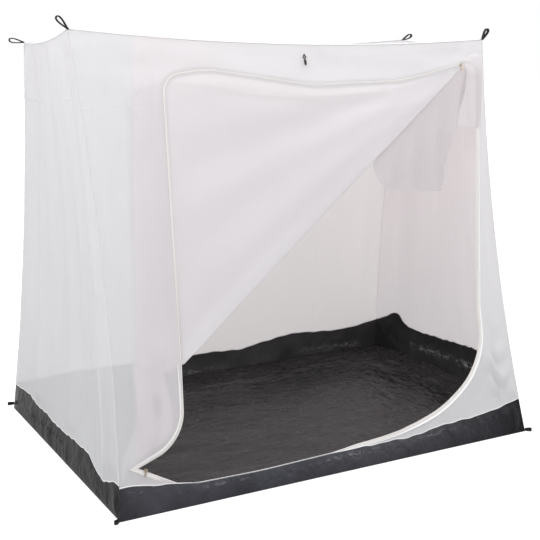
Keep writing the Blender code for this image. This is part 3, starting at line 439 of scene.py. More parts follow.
def groundsheet(name, tone, inner, crinkle_scale, roughness, stretch, ridge, shine=0.20,
                uneven=0.30, painted_shading=None, crushed=None, from_sides=None):
    """Crinkled woven polyethylene with a dull shine; its two faces differ in tone, lighter or
    darker as painted light and shade.
    Crushed gives the V of a line of painted glints where the sheet is crushed, and their brightness
    on each face.
    Painted light and shade can change the tone and the shine's tint across the UV, or with the
    distance from the sheet's turned-up sides."""
    made, tree, shader = node_material(name, {"Specular IOR Level": shine})
    coordinates = add_node(tree, "ShaderNodeTexCoord").outputs
    uv, place = coordinates["UV"], scaled(tree, coordinates["Object"], stretch)
    cloud = noise_value(tree, place, Scale=5.0, Detail=4.0)
    side = add_node(tree, "ShaderNodeNewGeometry").outputs["Backfacing"]
    outer_face, inner_face = (
        ramp(tree, cloud, ((0.3, tuple(c * (1 - uneven) for c in colour)),
                           (0.7, tuple(min(c * (1 + uneven), 1.0) for c in colour))))
        for colour in (tone, inner))
    colour = mixed(tree, side, outer_face, inner_face)
    # Painted glints: a lighter colour in small spots along a line where the sheet is crushed
    if crushed:
        height, *glints = crushed
        glint_colour = mixed(tree, side, *((glint, glint, glint * 1.04, 1.0) for glint in glints))
        glint_spots = painted_glint_line(tree, uv, coordinates["Object"], height)
        colour = mixed(tree, glint_spots, colour, glint_colour)
    painted_tone_change = None
    if painted_shading:
        painted_tone_change = slanting(tree, uv, *painted_shading)
    elif from_sides:
        distance = add_node(tree, "ShaderNodeAttribute", attribute_name="from_sides")
        painted_tone_change = ramp(tree, distance.outputs["Fac"], from_sides)
    # Painted light and shade, on the colour and on the shine's tint
    if painted_tone_change:
        colour = mixed(tree, 1.0, colour, painted_tone_change, "MULTIPLY")
        tree.links.new(painted_tone_change, shader.inputs["Specular Tint"])
    tree.links.new(colour, shader.inputs["Base Color"])
    rough = spread(tree, noise_value(tree, place, Scale=11.0, Detail=3.0),
                   To_Min=roughness - 0.06, To_Max=roughness + 0.08)
    tree.links.new(rough, shader.inputs["Roughness"])
    normal = bump(tree, woven(tree, uv, 700), 0.08, 0.0004)
    ridges = texture(tree, "ShaderNodeTexVoronoi", place,
                     {"Scale": crinkle_scale, "Detail": 2.0}, feature="DISTANCE_TO_EDGE")
    edge = math_node(tree, "MULTIPLY", ridges["Distance"], 2.2, clamp=True)
    normal = bump(tree, edge, ridge, 0.003, normal)
    folds = noise_value(tree, place, Scale=crinkle_scale * 0.8, Detail=5.0, Roughness=0.6,
                        Distortion=0.6)
    tree.links.new(bump(tree, folds, ridge, 0.010, normal), shader.inputs["Normal"])
    return made


def woven_band(name, tone, density, roughness=0.8, stitch=None, groove_shade=0.72, sheen=0.1):
    """Woven tape or band; its UV runs along it and across it, in metres. A row of stitches
    may run along it at some distance from its edge."""
    made, tree, shader = node_material(name, {"Roughness": roughness, "Sheen Weight": sheen})
    uv = add_node(tree, "ShaderNodeTexCoord").outputs["UV"]
    weave = woven(tree, uv, density)
    # Darker in the weave's low spots: painted shade
    tree.links.new(shades(tree, weave, tone, groove_shade, 0.1, 0.7), shader.inputs["Base Color"])
    normal = bump(tree, weave, 0.5, 0.0003)
    if stitch is not None:
        axes = axes_of(tree, uv)
        dash = math_node(tree, "FRACT", math_node(tree, "DIVIDE", axes["X"], 0.0035))
        dash = math_node(tree, "LESS_THAN", dash, 0.7)
        off = math_node(tree, "ABSOLUTE", math_node(tree, "SUBTRACT", axes["Y"], stitch))
        thread = math_node(tree, "LESS_THAN", off, 0.0004)
        normal = bump(tree, math_node(tree, "MULTIPLY", dash, thread), 0.8, 0.0006, normal)
    tree.links.new(normal, shader.inputs["Normal"])
    return made


COIL_DENSITY = 1 / 0.0018


def zip_coil(name, tone):
    """Nylon coil: ribs across the chain, about 3.6 mm apart, with painted shade between them."""
    made, tree, shader = node_material(name, {"Roughness": 0.42})
    uv = add_node(tree, "ShaderNodeTexCoord").outputs["UV"]
    ribs = texture(tree, "ShaderNodeTexWave",
                   scaled(tree, uv, (COIL_DENSITY / WAVE_DIVISOR, 0, 0)),
                   {"Scale": 1.0, "Distortion": 0.0}, bands_direction="X")["Fac"]
    tree.links.new(shades(tree, ribs, tone, 0.8, 0.1, 0.6), shader.inputs["Base Color"])
    tree.links.new(bump(tree, ribs, 0.9, 0.0008), shader.inputs["Normal"])
    return made


def worn_metal(name, tone):
    made, tree, shader = node_material(name, {"Metallic": 1.0})
    place = add_node(tree, "ShaderNodeTexCoord").outputs["Object"]
    rub = noise_value(tree, place, Scale=900.0, Detail=4.0)
    tree.links.new(shades(tree, rub, tone, 0.55, 0.35, 0.6), shader.inputs["Base Color"])
    tree.links.new(spread(tree, rub, To_Min=0.28, To_Max=0.50), shader.inputs["Roughness"])
    tree.links.new(bump(tree, rub, 0.25, 0.0002), shader.inputs["Normal"])
    return made


def moulded_plastic(name, tone):
    made, tree, shader = node_material(name, {"Roughness": 0.38})
    place = add_node(tree, "ShaderNodeTexCoord").outputs["Object"]
    grain = noise_value(tree, place, Scale=1400.0, Detail=2.0)
    tree.links.new(shades(tree, grain, tone, 0.8, 0.4, 0.6), shader.inputs["Base Color"])
    tree.links.new(bump(tree, grain, 0.2, 0.0002), shader.inputs["Normal"])
    return made


# One white cloth, with a tone of its own on each piece and each face. The lighter, warmer inner
# tone is painted light within the tent; the other tones are painted light and shade for how light
# falls on each piece.
OUTER_TONE, INNER_TONE = (0.805, 0.806, 0.824), (0.905, 0.858, 0.853)
NO_CHANGE = (1.0, 1.0, 1.0)
WHITE_LEFT = sheer_cloth("sheer_left_cloth", (0.760, 0.768, 0.788), (0.860, 0.850, 0.860), 0.13,
                         (("Y", 1.516, 1.0), ("X", 0.640, 0.2), ("Y", 0.780, 0.15)))
# Right wall: its inner face darker, and a slanting band lighter across it: painted shade and
# painted light
WHITE_RIGHT = sheer_cloth(
    "sheer_right_cloth", OUTER_TONE, (0.735, 0.690, 0.702), 0.12,
    painted_shading=(0.28, 0.5, -0.24, ((0.13, (0.975, 0.968, 0.975)), (0.21, (0.985, 0.974, 0.980)),
                             (0.30, (1.035, 1.018, 1.022)), (0.40, (1.075, 1.050, 1.052)),
                             (0.47, (1.070, 1.043, 1.045)), (0.56, (1.035, 1.008, 1.010)))))
# Roof: its outer face darker, painted shade that keeps it from turning white under the top lamp
WHITE_ROOF = sheer_cloth("sheer_roof_cloth", (0.58, 0.58, 0.592), INNER_TONE, 0.12)
WHITE_BACK = sheer_cloth("sheer_back_cloth", OUTER_TONE, INNER_TONE, 0.10,
                         (("X", 1.960, 0.8), ("X", 1.560, 0.5), ("X", 1.110, 0.4),
                          ("Y", 0.860, 0.3)))
# Front wall: bluish where the tub's shade shows through, pinkish where the door's free part hangs
# behind it: painted shade and painted light
WHITE_FRONT = sheer_cloth(
    "sheer_front_cloth", OUTER_TONE, INNER_TONE, 0.16, (("Y", 2.552, 0.35),),
    painted_shading=(1.0, -0.1125, 0.174, ((0.145, (0.940, 0.950, 0.960)), (0.165, (0.985, 0.958, 0.965)),
                                (0.36, (0.985, 0.958, 0.965)), (0.55, NO_CHANGE))),
    clearer=(0.40, 1.60, 0.16, 0.06))
# Door: lighter along the crease's roll and a little darker beyond it, painted highlight and painted
# shade; its outer face lighter and its inner face darker than the walls'
WHITE_DOOR = sheer_cloth(
    "sheer_door_cloth", (0.848, 0.834, 0.850), (0.735, 0.690, 0.718), 0.14,
    painted_shading=(0.0, 1.0, -0.9, ((0.050, NO_CHANGE), (0.08, (1.030, 1.036, 1.042)),
                           (0.145, (1.022, 1.028, 1.034)), (0.19, (0.988, 0.983, 0.990)),
                           (0.27, NO_CHANGE))))
# Gusset and lobe: the door's white cloth with darker tones, painted shade for folds that lie in
# shade behind the doorway
SHADED_DOOR = sheer_cloth("sheer_door_shaded_cloth", (0.740, 0.703, 0.722), (0.672, 0.634, 0.652), 0.06)
# Gathered corner: the cloth darker, painted shade, and lighter towards its top where it lies on the
# wall
WHITE_CORNER = sheer_cloth(
    "sheer_corner_cloth", (0.825, 0.812, 0.828), (0.745, 0.708, 0.724), 0.10,
    painted_shading=(0.0, 1.0, -3.2, ((0.43, NO_CHANGE), (0.485, (1.11, 1.13, 1.13)))))

FLOOR_TONE = (0.0355, 0.0328, 0.0352)
# Floor: lighter next to the back and right sides, darker a little further in, on its colour and its
# shine: painted light, painted shade and painted reflection
FLOOR_SHEET = groundsheet(
    "groundsheet_floor_sheet", FLOOR_TONE, FLOOR_TONE, 11.0, 0.27, (1.0, 1.8, 1.0), 0.13, 0.14,
    uneven=0.16,
    from_sides=((0.04, (1.15, 1.18, 1.17)), (0.14, (0.98, 1.02, 1.01)),
                (0.27, (0.56, 0.59, 0.58)), (0.40, (0.66, 0.68, 0.67)),
                (0.58, (0.88, 0.88, 0.88)), (0.75, NO_CHANGE)))
# The same groundsheet, with a far lighter tone on its inner face and other tones on some sides:
# painted light and shade
TUB_OUTSIDE, TUB_INSIDE = (0.0115, 0.0116, 0.0130), (0.077, 0.0755, 0.0765)
# Along the front tub wall: lighter in its middle and darker to its right end, on its colour and its
# shine: painted light, painted shade and painted reflection
TUB_FRONT_LIGHT_AND_SHADE = ((0.0, (0.80, 0.80, 0.83)), (0.05, (1.05, 1.05, 1.09)),
                  (0.30, (1.05, 1.07, 1.11)), (0.66, (1.15, 1.15, 1.17)),
                  (0.80, (0.92, 0.92, 0.93)), (0.89, (0.62, 0.62, 0.63)),
                  (0.94, (0.42, 0.42, 0.43)), (1.00, (0.24, 0.24, 0.25)))
TUB_SHEETS = {
    "left": groundsheet("groundsheet_left_sheet", TUB_OUTSIDE, TUB_INSIDE, 16.0, 0.27,
                        (1.3, 1.3, 0.9), 0.9),
    "back": groundsheet("groundsheet_back_sheet", TUB_OUTSIDE, TUB_INSIDE, 12.0, 0.33,
                        (1.0, 1.0, 1.0), 0.22, crushed=(0.040, 0.06, 0.42)),
    "right": groundsheet("groundsheet_right_sheet", TUB_OUTSIDE, (0.045, 0.044, 0.045), 12.0,
                         0.33, (1.0, 1.0, 1.0), 0.22, crushed=(0.070, 0.06, 0.38)),
    "front": groundsheet("groundsheet_front_sheet", (0.036, 0.0360, 0.0425), TUB_INSIDE, 15.0,
                         0.27, (1.3, 1.3, 0.9), 1.0, crushed=(0.120, 0.13, 0.13),
                         painted_shading=(0.5, 0.0, 0.0, TUB_FRONT_LIGHT_AND_SHADE)),
}
SEAM = woven_band("white_seam", (0.90, 0.90, 0.91), 1800, 0.75, stitch=0.003, groove_shade=0.90)
FINE_SEAM = woven_band("fine_white_seam", (0.785, 0.785, 0.797), 1800, 0.75, stitch=0.0015,
                       groove_shade=0.85, sheen=0.0)
ZIP_TAPE = woven_band("cream_zip_tape", (0.765, 0.740, 0.725), 1500, 0.75, stitch=0.006,
                      groove_shade=0.90, sheen=0.03)
COIL = zip_coil("cream_zip_coil", (0.825, 0.795, 0.775))
BLACK = woven_band("black_elastic_band", (0.006, 0.006, 0.0065), 1200, sheen=0.0)
METAL = worn_metal("dull_brass", (0.52, 0.43, 0.31))
PLASTIC = moulded_plastic("black_moulded_plastic", (0.014, 0.014, 0.015))


# Side walls, back wall and roof

SEAM_INSET = 0.0003


def wall_normals(surface, u, v, outside):
    step = 0.004
    du = surface(u + step, v) - surface(u - step, v)
    dv = surface(u, v + step) - surface(u, v - step)
    normal = unit(np.cross(du, dv))
    return normal * column(np.sign(normal @ outside))


def border(u, v, reach_u, reach_v):
    """0 at the edges of a panel and 1 well inside it."""
    return smooth(0, reach_u, np.minimum(u, 1 - u)) * smooth(0, reach_v, np.minimum(v, 1 - v))


def main_folds(u, v):
    """The broad upright folds that the solid walls have too."""
    return 0.012 * np.sin(4.0 * np.pi * u) * hump(u) * hump(v) ** 0.7


def left_slack(u, v):
    folds = 0.012 * np.sin(u * 19.0 + 0.8 * v + 0.4) + 0.006 * np.sin(u * 37.0 - 1.1 * v)
    pleats = 0.007 * np.sin(u * 78.0 + 2.0 * v) * smooth(0.34, 0.10, u) * smooth(0.62, 0.25, v)
    pulls = 0.012 * np.sin((u * 9.0 + v * 5.0)) * smooth(0.55, 1.0, v)
    return main_folds(u, v) + folds * (0.45 + 0.55 * (1 - v)) + pleats + pulls


def right_slack(u, v):
    folds = 0.009 * np.sin(u * 19.0 + 1.0 * v) + 0.006 * np.sin(u * 41.0 + 2.0 * v + 1.0)
    return main_folds(u, v) + folds


def back_slack(u, v):
    folds = 0.013 * np.sin(u * 21.0 + 0.6 * v) + 0.006 * np.sin(u * 47.0 - 1.0 * v + 0.7)
    return main_folds(u, v) + folds * (0.35 + 0.65 * np.abs(np.sin(u * 5.0 + 0.7)))


def roof_slack(u, v):
    return -0.045 * hump(u) * hump(v) + 0.006 * np.sin(u * 26.0 + v * 2.0) * hump(v)


def make_wall(name, node, side, slack, columns, rows, seed, cloth):
    """A wall from the tub's top edge up, or the roof, with the slack of its cloth."""
    surface, on_tub = WALLS[side], side != "roof"
    u, t, faces = grid(columns, rows)
    v = mix(tub_top(side, u) / HEIGHT if on_tub else 0.0, 1.0, t)
    points = surface(u, mix(0.0 if on_tub else SEAM_INSET, 1 - SEAM_INSET, v))
    normals = wall_normals(surface, np.clip(u, 0.01, 0.99), np.clip(v, 0.01, 0.99), OUTSIDE[side])
    fold = slack(u, v) * border(u, t, 0.06, 0.05)
    fold += wrinkles(points, 5.0, 3, seed) * 0.0035 * border(u, t, 0.03, 0.03)
    points = points + normals * column(fold)
    if side in ("left", "back"):
        faces = faces[:, ::-1]
    width = np.linalg.norm(surface([1.0], [0.5]) - surface([0.0], [0.5]))
    height = np.linalg.norm(surface([0.5], [1.0]) - surface([0.5], [0.0]))
    made = new_piece(name, points, faces, cloth, np.stack((u * width, v * height), axis=1))
    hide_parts(node)
    return made


left_cloth = make_wall("left_wall_cloth", "left_wall", "left", left_slack, 110, 100, 3.0,
                       WHITE_LEFT)
right_cloth = make_wall("right_wall_cloth", "right_wall", "right", right_slack, 70, 86, 5.0,
                        WHITE_RIGHT)
back_cloth = make_wall("back_wall_cloth", "back_wall", "back", back_slack, 130, 86, 7.0,
                       WHITE_BACK)
roof_cloth = make_wall("roof_cloth", "roof_panel", "roof", roof_slack, 96, 40, 9.0, WHITE_ROOF)


# Doorway outline and the cloth of the front wall

DOOR_CORNERS = ((-0.905, 0.187, 0.000), (-0.725, 0.1015, 0.050), (-0.640, 0.0872, 0.150),
                (-0.370, 0.0824, 2.600), (-0.060, 0.0905, 2.000), (0.080, 0.0920, 2.000),
                (0.300, 0.1075, 0.900), (0.530, 0.172, 0.550), (0.700, 0.285, 0.340),
                (0.777, 0.430, 0.300), (0.778, 0.580, 0.500), (0.918, 1.711, 0.060),
                (0.815, 1.6934, 0.000), (0.500, 1.632, 0.450), (0.060, 1.622, 0.400),
                (-0.420, 1.697, 0.300), (-0.614, 1.672, 0.090), (-0.648, 1.000, 1.200),
                (-0.668, 0.550, 0.000), (-0.682, 0.262, 0.170))
ZIP_TOP_CORNER = 12
ZIP_LEFT_CORNER = 18
# Distances in from the doorway's edge, and widths
TAPE_START, TAPE_WIDTH, TAPE_GAP = 0.0003, 0.0080, 0.0003
CHAIN_START, CHAIN_WIDTH, CHAIN_SLOT = 0.0086, 0.0025, 0.0016
MIDDLE_OF_ZIP = CHAIN_START + CHAIN_WIDTH + CHAIN_SLOT / 2
FLAP_CHAIN = CHAIN_START + CHAIN_WIDTH + CHAIN_SLOT
FLAP_TAPE = FLAP_CHAIN + CHAIN_WIDTH + TAPE_GAP
COVER_GAP = 0.0010  # from the middle of the shut zip to either cloth


def rounded_outline(corners, arc_step):
    """A closed outline with its corners rounded, and where each corner's points start."""
    points, starts = [], []
    count = len(corners)
    for k in range(count):
        here = Vector(corners[k][:2])
        back = (Vector(corners[k - 1][:2]) - here).normalized()
        ahead = (Vector(corners[(k + 1) % count][:2]) - here).normalized()
        radius = corners[k][2]
        starts.append(len(points))
        if radius == 0.0:
            points.append(here)
            continue
        half = back.angle(ahead) / 2
        reach = radius / math.tan(half)
        middle = here + (back + ahead).normalized() * (radius / math.sin(half))
        start = here + back * reach - middle
        turn = math.pi - 2 * half
        left_turn = back.x * ahead.y - back.y * ahead.x < 0
        steps = max(2, round(turn / arc_step))
        for i in range(steps + 1):
            angle = turn * i / steps * (1 if left_turn else -1)
            points.append(middle + Matrix.Rotation(angle, 2) @ start)
    return np.array([tuple(p) for p in points]), starts


def offset_outline(outline, distance):
    """The closed outline moved to the left of its direction."""
    before = unit(outline - np.roll(outline, 1, axis=0))
    after = unit(np.roll(outline, -1, axis=0) - outline)
    left = unit(np.stack((-before[:, 1] - after[:, 1], before[:, 0] + after[:, 0]), axis=1))
    share = left[:, 0] * -before[:, 1] + left[:, 1] * before[:, 0]
    return outline + left * (distance / share)[:, None]


def resampled(line, spacing, closed=False):
    """Points evenly spaced along a line, with its own corners kept."""
    made = []
    stretch = np.vstack((line, line[:1])) if closed else line
    for a, b in zip(stretch[:-1], stretch[1:]):
        steps = max(1, round(float(np.linalg.norm(b - a)) / spacing))
        made += [mix(a, b, i / steps) for i in range(steps)]
    if not closed:
        made.append(stretch[-1])
    return np.array(made)


def inside(points, outline):
    found = np.zeros(len(points), bool)
    for a, b in zip(outline, np.roll(outline, -1, axis=0)):
        if a[1] == b[1]:
            continue
        crosses = (a[1] > points[:, 1]) != (b[1] > points[:, 1])
        line = a[0] + (points[:, 1] - a[1]) * (b[0] - a[0]) / (b[1] - a[1])
        found ^= crosses & (points[:, 0] < line)
    return found


def edge_distance(points, line, closed=True):
    nearest = np.full(len(points), 1e9)
    ends = np.roll(line, -1, axis=0) if closed else line[1:]
    starts = line if closed else line[:-1]
    for a, b in zip(starts, ends):
        run = b - a
        t = np.clip(((points - a) @ run) / max(float(run @ run), 1e-12), 0.0, 1.0)
        nearest = np.minimum(nearest, np.linalg.norm(points - a - t[:, None] * run, axis=1))
    return nearest


def filled_sheet(outline, holes, spacing):
    """A fine even triangle mesh over an outline with holes."""
    low, high = outline.min(axis=0), outline.max(axis=0)
    rows = round((high[1] - low[1]) / (spacing * 0.87))
    columns = round((high[0] - low[0]) / spacing)
    spots = []
    for j in range(1, rows):
        for i in range(columns):
            shift = 0.5 * (j % 2) + 0.25
            spots.append((mix(low[0], high[0], (i + shift) / columns),
                          mix(low[1], high[1], j / rows)))
    spots = np.array(spots)
    keep = inside(spots, outline) & (edge_distance(spots, outline) > spacing * 0.45)
    for hole in holes:
        keep &= ~inside(spots, hole) & (edge_distance(spots, hole) > spacing * 0.45)
    points = list(outline)
    edges = [(i, (i + 1) % len(outline)) for i in range(len(outline))]
    for hole in holes:
        start = len(points)
        points += list(hole)
        edges += [(start + i, start + (i + 1) % len(hole)) for i in range(len(hole))]
    points += list(spots[keep])
    made = delaunay_2d_cdt([Vector(p) for p in points], edges, [], 0, 1e-7)
    corners = np.array([tuple(p) for p in made[0]])
    faces = [tuple(f) for f in made[2]]
    centres = np.array([corners[list(f)].mean(axis=0) for f in faces])
    wanted = inside(centres, outline)
    for hole in holes:
        wanted &= ~inside(centres, hole)
    return corners, [f for f, good in zip(faces, wanted) if good]


def front_points(flat, n=0.0):
    """Points of the front wall from across and up-slope, and how far inward."""
    flat = np.asarray(flat, float)
    base = np.array((0.0, -DEPTH / 2, 0.0))
    inward = INWARD * column(np.broadcast_to(n, len(flat)))
    return base + X_AXIS * flat[:, :1] + SLOPE * flat[:, 1:2] + inward


DOOR, DOOR_STARTS = rounded_outline(DOOR_CORNERS, math.radians(5))
ZIP_TOP_END = DOOR_STARTS[ZIP_TOP_CORNER]
ZIP_LEFT_END = DOOR_STARTS[ZIP_LEFT_CORNER]
SHUT = np.zeros(len(DOOR))
SHUT[ZIP_TOP_END:ZIP_LEFT_END + 1] = 1.0


def shut_stretch(distance):
    """The doorway's edge where it is zipped shut, moved in by a distance."""
    return offset_outline(DOOR, distance)[ZIP_TOP_END:ZIP_LEFT_END + 1]


def open_stretch(distance):
    """The doorway's edge where it is unzipped, from the crease's foot round to the top slider."""
    line = offset_outline(DOOR, distance)
    return np.vstack((line[ZIP_LEFT_END:], line[:ZIP_TOP_END + 1]))


def front_edge_x(corner, v):
    top = TOP[corner][2] / HEIGHT * SLOPE_LENGTH
    edge = corner_edge(corner)(np.atleast_1d(v) / top)[:, 0]
    return edge + np.where(edge < 0, SEAM_INSET, -SEAM_INSET)


def tub_front_line(count=120):
    share = np.linspace(0, 1, count + 1)
    v = tub_top("front", share)
    x = mix(front_edge_x("front_left", v), front_edge_x("front_right", v), share)
    return np.stack((x, v), axis=1)


def front_wall_outline():
    low = tub_front_line()
    right_top = SLOPE_LENGTH - SEAM_INSET
    left_top = TOP["front_left"][2] / HEIGHT * SLOPE_LENGTH - SEAM_INSET
    v = np.linspace(low[-1, 1], right_top, 80)[1:]
    right = np.stack((front_edge_x("front_right", v), v), axis=1)
    seam = EDGES["top_front"](np.linspace(1, 0, 90)[1:-1])
    top = np.stack((seam[:, 0], seam[:, 2] / HEIGHT * SLOPE_LENGTH - SEAM_INSET), axis=1)
    v = np.linspace(left_top, low[0, 1], 80)[:-1]
    left = np.stack((front_edge_x("front_left", v), v), axis=1)
    return np.vstack((low, right, top, left))


def front_slack(flat):
    """Slack of the front wall, inward: upright folds on the left, pulls at the hung corners."""
    x, v = flat[:, 0], flat[:, 1]
    left = 0.005 * np.sin(x * 34.0 + v * 1.4 + 0.5) + 0.004 * np.sin(x * 71.0 - v * 2.0)
    left *= smooth(-0.60, -0.66, x) * (0.4 + 0.6 * smooth(1.6, 0.4, v))
    right = 0.006 * np.sin(x * 60.0 + v * 2.0) * smooth(0.74, 0.80, x)
    crumple = 0.011 * np.sin((x * 0.6 + v) * 52.0 + 2.0 * np.sin(x * 60.0)) \
        * smooth(0.72, 0.86, x) * smooth(0.62, 0.30, v)
    top = 0.003 * np.sin(x * 8.0 + v * 30.0) * smooth(1.60, 1.70, v)
    heel = 0.009 * np.sin(x * 120.0 + 2.0 * np.sin(v * 60.0)) \
        * np.exp(-((x + 0.915) / 0.030) ** 2 - ((v - 0.19) / 0.06) ** 2)
    return left + right + crumple + top + heel


SHUT_LINE = shut_stretch(MIDDLE_OF_ZIP)
COVER_LIFT = 0.0012


def cover_lift(flat):
    """How far outward the cloth rises to pass over the shut zip."""
    return COVER_LIFT * smooth(0.070, 0.0, edge_distance(flat, SHUT_LINE, closed=False))


def make_front():
    """The front wall; where the doorway is shut, its cloth is drawn over the zip. Its folds die
    away at its edges and round the toggle."""
    outline = front_wall_outline()
    edge = mix(DOOR, offset_outline(DOOR, MIDDLE_OF_ZIP - COVER_GAP), SHUT[:, None])
    hole = resampled(edge, 0.018, closed=True)
    flat, faces = filled_sheet(outline, [hole], 0.020)
    free = np.minimum(edge_distance(flat, outline), edge_distance(flat, hole))
    from_toggle = np.hypot(flat[:, 0] - 0.026, (flat[:, 1] - 1.715) * 0.6)
    calm = np.minimum(np.minimum(free, from_toggle) / 0.12, 1)
    depth = calm * 0.012 * (0.5 + 0.5 * np.sin(2.0 * np.pi * 3.0 * flat[:, 0]))
    depth = depth + front_slack(flat) * smooth(0.0, 0.06, free) * smooth(0.0, 0.5, calm) \
        - cover_lift(flat)
    fine = wrinkles(front_points(flat), 6.0, 3, 11.0) * 0.004
    depth = depth + fine * smooth(0.0, 0.04, free) * calm
    made = new_piece("front_wall_cloth", front_points(flat, depth), faces, WHITE_FRONT, flat + 1.0)
    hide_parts("front_wall")
    return made


front_cloth = make_front()


# The door: zipped part in front, a soft roll at the crease, and the free part behind

RIM = shut_stretch(FLAP_TAPE + TAPE_WIDTH + TAPE_GAP)[::-1]
CREASE_FOOT, CREASE_TOP = RIM[0], RIM[-1]
COVER_RIM = shut_stretch(MIDDLE_OF_ZIP + COVER_GAP)[::-1]
CREASE_LENGTH = float(np.linalg.norm(CREASE_TOP - CREASE_FOOT))
CREASE_RUN = (CREASE_TOP - CREASE_FOOT) / CREASE_LENGTH
CREASE_SIDE = np.array((-CREASE_RUN[1], CREASE_RUN[0]))
FREE_KNOTS = np.array(((0.0, 0.0), (-0.0300, 0.0130), (-0.0420, 0.0350), (-0.0600, 0.0630),
                       (-0.0510, 0.0920), (-0.0100, 0.1380), (0.0490, 0.1960), (0.1220, 0.2720),
                       (0.1940, 0.3470), (0.2680, 0.4240), (0.3150, 0.4700), (0.3800, 0.4550),
                       (0.4600, 0.3840), (0.5520, 0.2780), (0.6740, 0.1740), (0.8480, 0.0600),
                       (1.0, 0.0))) * CREASE_LENGTH
ROLL_WIDTH = 0.085


def spline(knots, steps):
    knots = [np.array(k, float) for k in knots]
    made = [knots[0]]
    for k in range(len(knots) - 1):
        before, a, b = knots[max(k - 1, 0)], knots[k], knots[k + 1]
        after = knots[min(k + 2, len(knots) - 1)]
        for i in range(1, steps + 1):
            t = i / steps
            made.append(((a * 2) + (b - before) * t + (before * 2 - a * 5 + b * 4 - after) * t * t
                         + (a * 3 - before - b * 3 + after) * t ** 3) * 0.5)
    return np.array(made)


def closed_spline(knots, steps):
    return spline(list(knots) + [knots[0]], steps)[:-1]


def spaced(line, places):
    """Points of a line at shares of its length."""
    lengths = run_lengths(line)
    wanted = np.asarray(places) * lengths[-1]
    return np.stack([np.interp(wanted, lengths, line[:, k]) for k in range(line.shape[1])], axis=1)


def crease_places(ab):
    ab = np.asarray(ab, float)
    return CREASE_FOOT + ab[:, :1] * CREASE_RUN + ab[:, 1:2] * CREASE_SIDE


def roll_size(a):
    """Half thickness of the soft roll, thin at its two ends."""
    share = np.clip(a / CREASE_LENGTH, 0.0, 1.0)
    return 0.015 * smooth(0.0, 0.30, share) * smooth(1.0, 0.84, share) + 0.0012


def roll_shape(b):
    """Swelling of the roll across the cloth, from the crease to where it has died away."""
    rise = np.sqrt(np.clip(1 - (1 - np.minimum(b / ROLL_WIDTH, 1.0)) ** 2, 0, 1))
    return rise * (1 - smooth(ROLL_WIDTH * 0.5, ROLL_WIDTH * 3.5, b))


def hang_depth(ab):
    """How far behind the wall's plane the free part hangs."""
    a, b = ab[:, 0], np.maximum(ab[:, 1], 0.0)
    swing = 0.006 * np.sin(a * 17.0 - b * 6.0 + 0.4) * smooth(0.05, 0.25, b)
    soft_fold = roll_size(a) * (0.5 * roll_shape(b))
    return 0.0013 + soft_fold + 0.10 * b + swing + 0.003 * smooth(0.02, 0.12, b)


def flap_fold(flat):
    """Outward folds of the zipped part: a fan from the upper slider and a sag under the zip."""
    away = CREASE_TOP + np.array((0.05, 0.02)) - flat
    angle = np.arctan2(away[:, 1], away[:, 0])
    reach = np.linalg.norm(away, axis=1)
    fan = 0.0046 * np.sin(angle * 17.0 + 0.6) + 0.0026 * np.sin(angle * 37.0 + 1.0)
    fan *= smooth(0.15, 0.9, reach)
    sag_line = np.interp(flat[:, 0], (-0.60, -0.25, 0.05, 0.45, 0.78),
                         (1.665, 1.625, 1.575, 1.578, 1.655))
    off = flat[:, 1] - sag_line
    sag = 0.0040 * np.exp(-(off / 0.024) ** 2) - 0.0026 * np.exp(-((off + 0.05) / 0.03) ** 2)
    sag *= smooth(-0.60, -0.40, flat[:, 0]) * smooth(0.80, 0.60, flat[:, 0])
    return fan + sag


DOOR_COLUMNS = 121
TURN_ROWS = 9


def make_door():
    """One sheet in rows that run along the crease: from the zipped part's rim to the crease,
    round it, and on to the free part's edge."""
    along = np.linspace(0, 1, DOOR_COLUMNS)
    crease = np.stack((along * CREASE_LENGTH, np.zeros(DOOR_COLUMNS)), axis=1)
    rim = (spaced(COVER_RIM, along) - CREASE_FOOT) @ np.stack((CREASE_RUN, CREASE_SIDE), axis=1)
    edge = spaced(spline(FREE_KNOTS, 12), along)
    rows, depths, uvs = [], [], []
    size = roll_size(crease[:, 0])
    rim_shares = 1 - (1 - np.linspace(1, 0, 52)) ** 1.5
    for share in rim_shares[:-1]:
        ab = mix(crease, rim, share)
        flat = crease_places(ab)
        b = np.maximum(ab[:, 1], 0.0)
        calm = smooth(0.0, 0.12, edge_distance(flat, COVER_RIM, closed=False))
        fold = flap_fold(flat) * calm * smooth(0.0, 0.10, b)
        rows.append(ab)
        depths.append(-size * roll_shape(b) * calm - fold - cover_lift(flat))
        uvs.append(np.stack((ab[:, 0], 1.0 + ab[:, 1]), axis=1))
    for k in range(TURN_ROWS):
        turn = math.pi * (k + 0.5) / TURN_ROWS
        b = size * 0.35 * (1 - math.sin(turn))
        rows.append(np.stack((crease[:, 0], b), axis=1))
        depths.append(-size * 0.45 * math.cos(turn))
        uvs.append(np.stack((crease[:, 0], np.full(DOOR_COLUMNS, 0.999 - 0.003 * k)), axis=1))
    for share in np.linspace(0, 1, 37)[1:]:
        ab = mix(crease, edge, share)
        rows.append(ab)
        depths.append(hang_depth(ab))
        uvs.append(np.stack((ab[:, 0], 0.96 - ab[:, 1]), axis=1))
    points = front_points(crease_places(np.vstack(rows)), np.concatenate(depths))
    faces = strip_faces(len(rows) - 1, DOOR_COLUMNS)[:, [0, 3, 2, 1]]
    made = new_piece("door_cloth", points, faces, WHITE_DOOR, np.vstack(uvs), body=None)
    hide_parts("door_flap_front", "door_flap_free")
    return made


door_cloth = make_door()
crease_middle = front_points(CREASE_FOOT[None] + CREASE_RUN * CREASE_LENGTH / 2)[0]
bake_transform(door_cloth)


# More layers of the gathered door: a gusset that the lower slider still holds, folded in behind
# the wall, and slack cloth that shows within the doorway under the upper slider

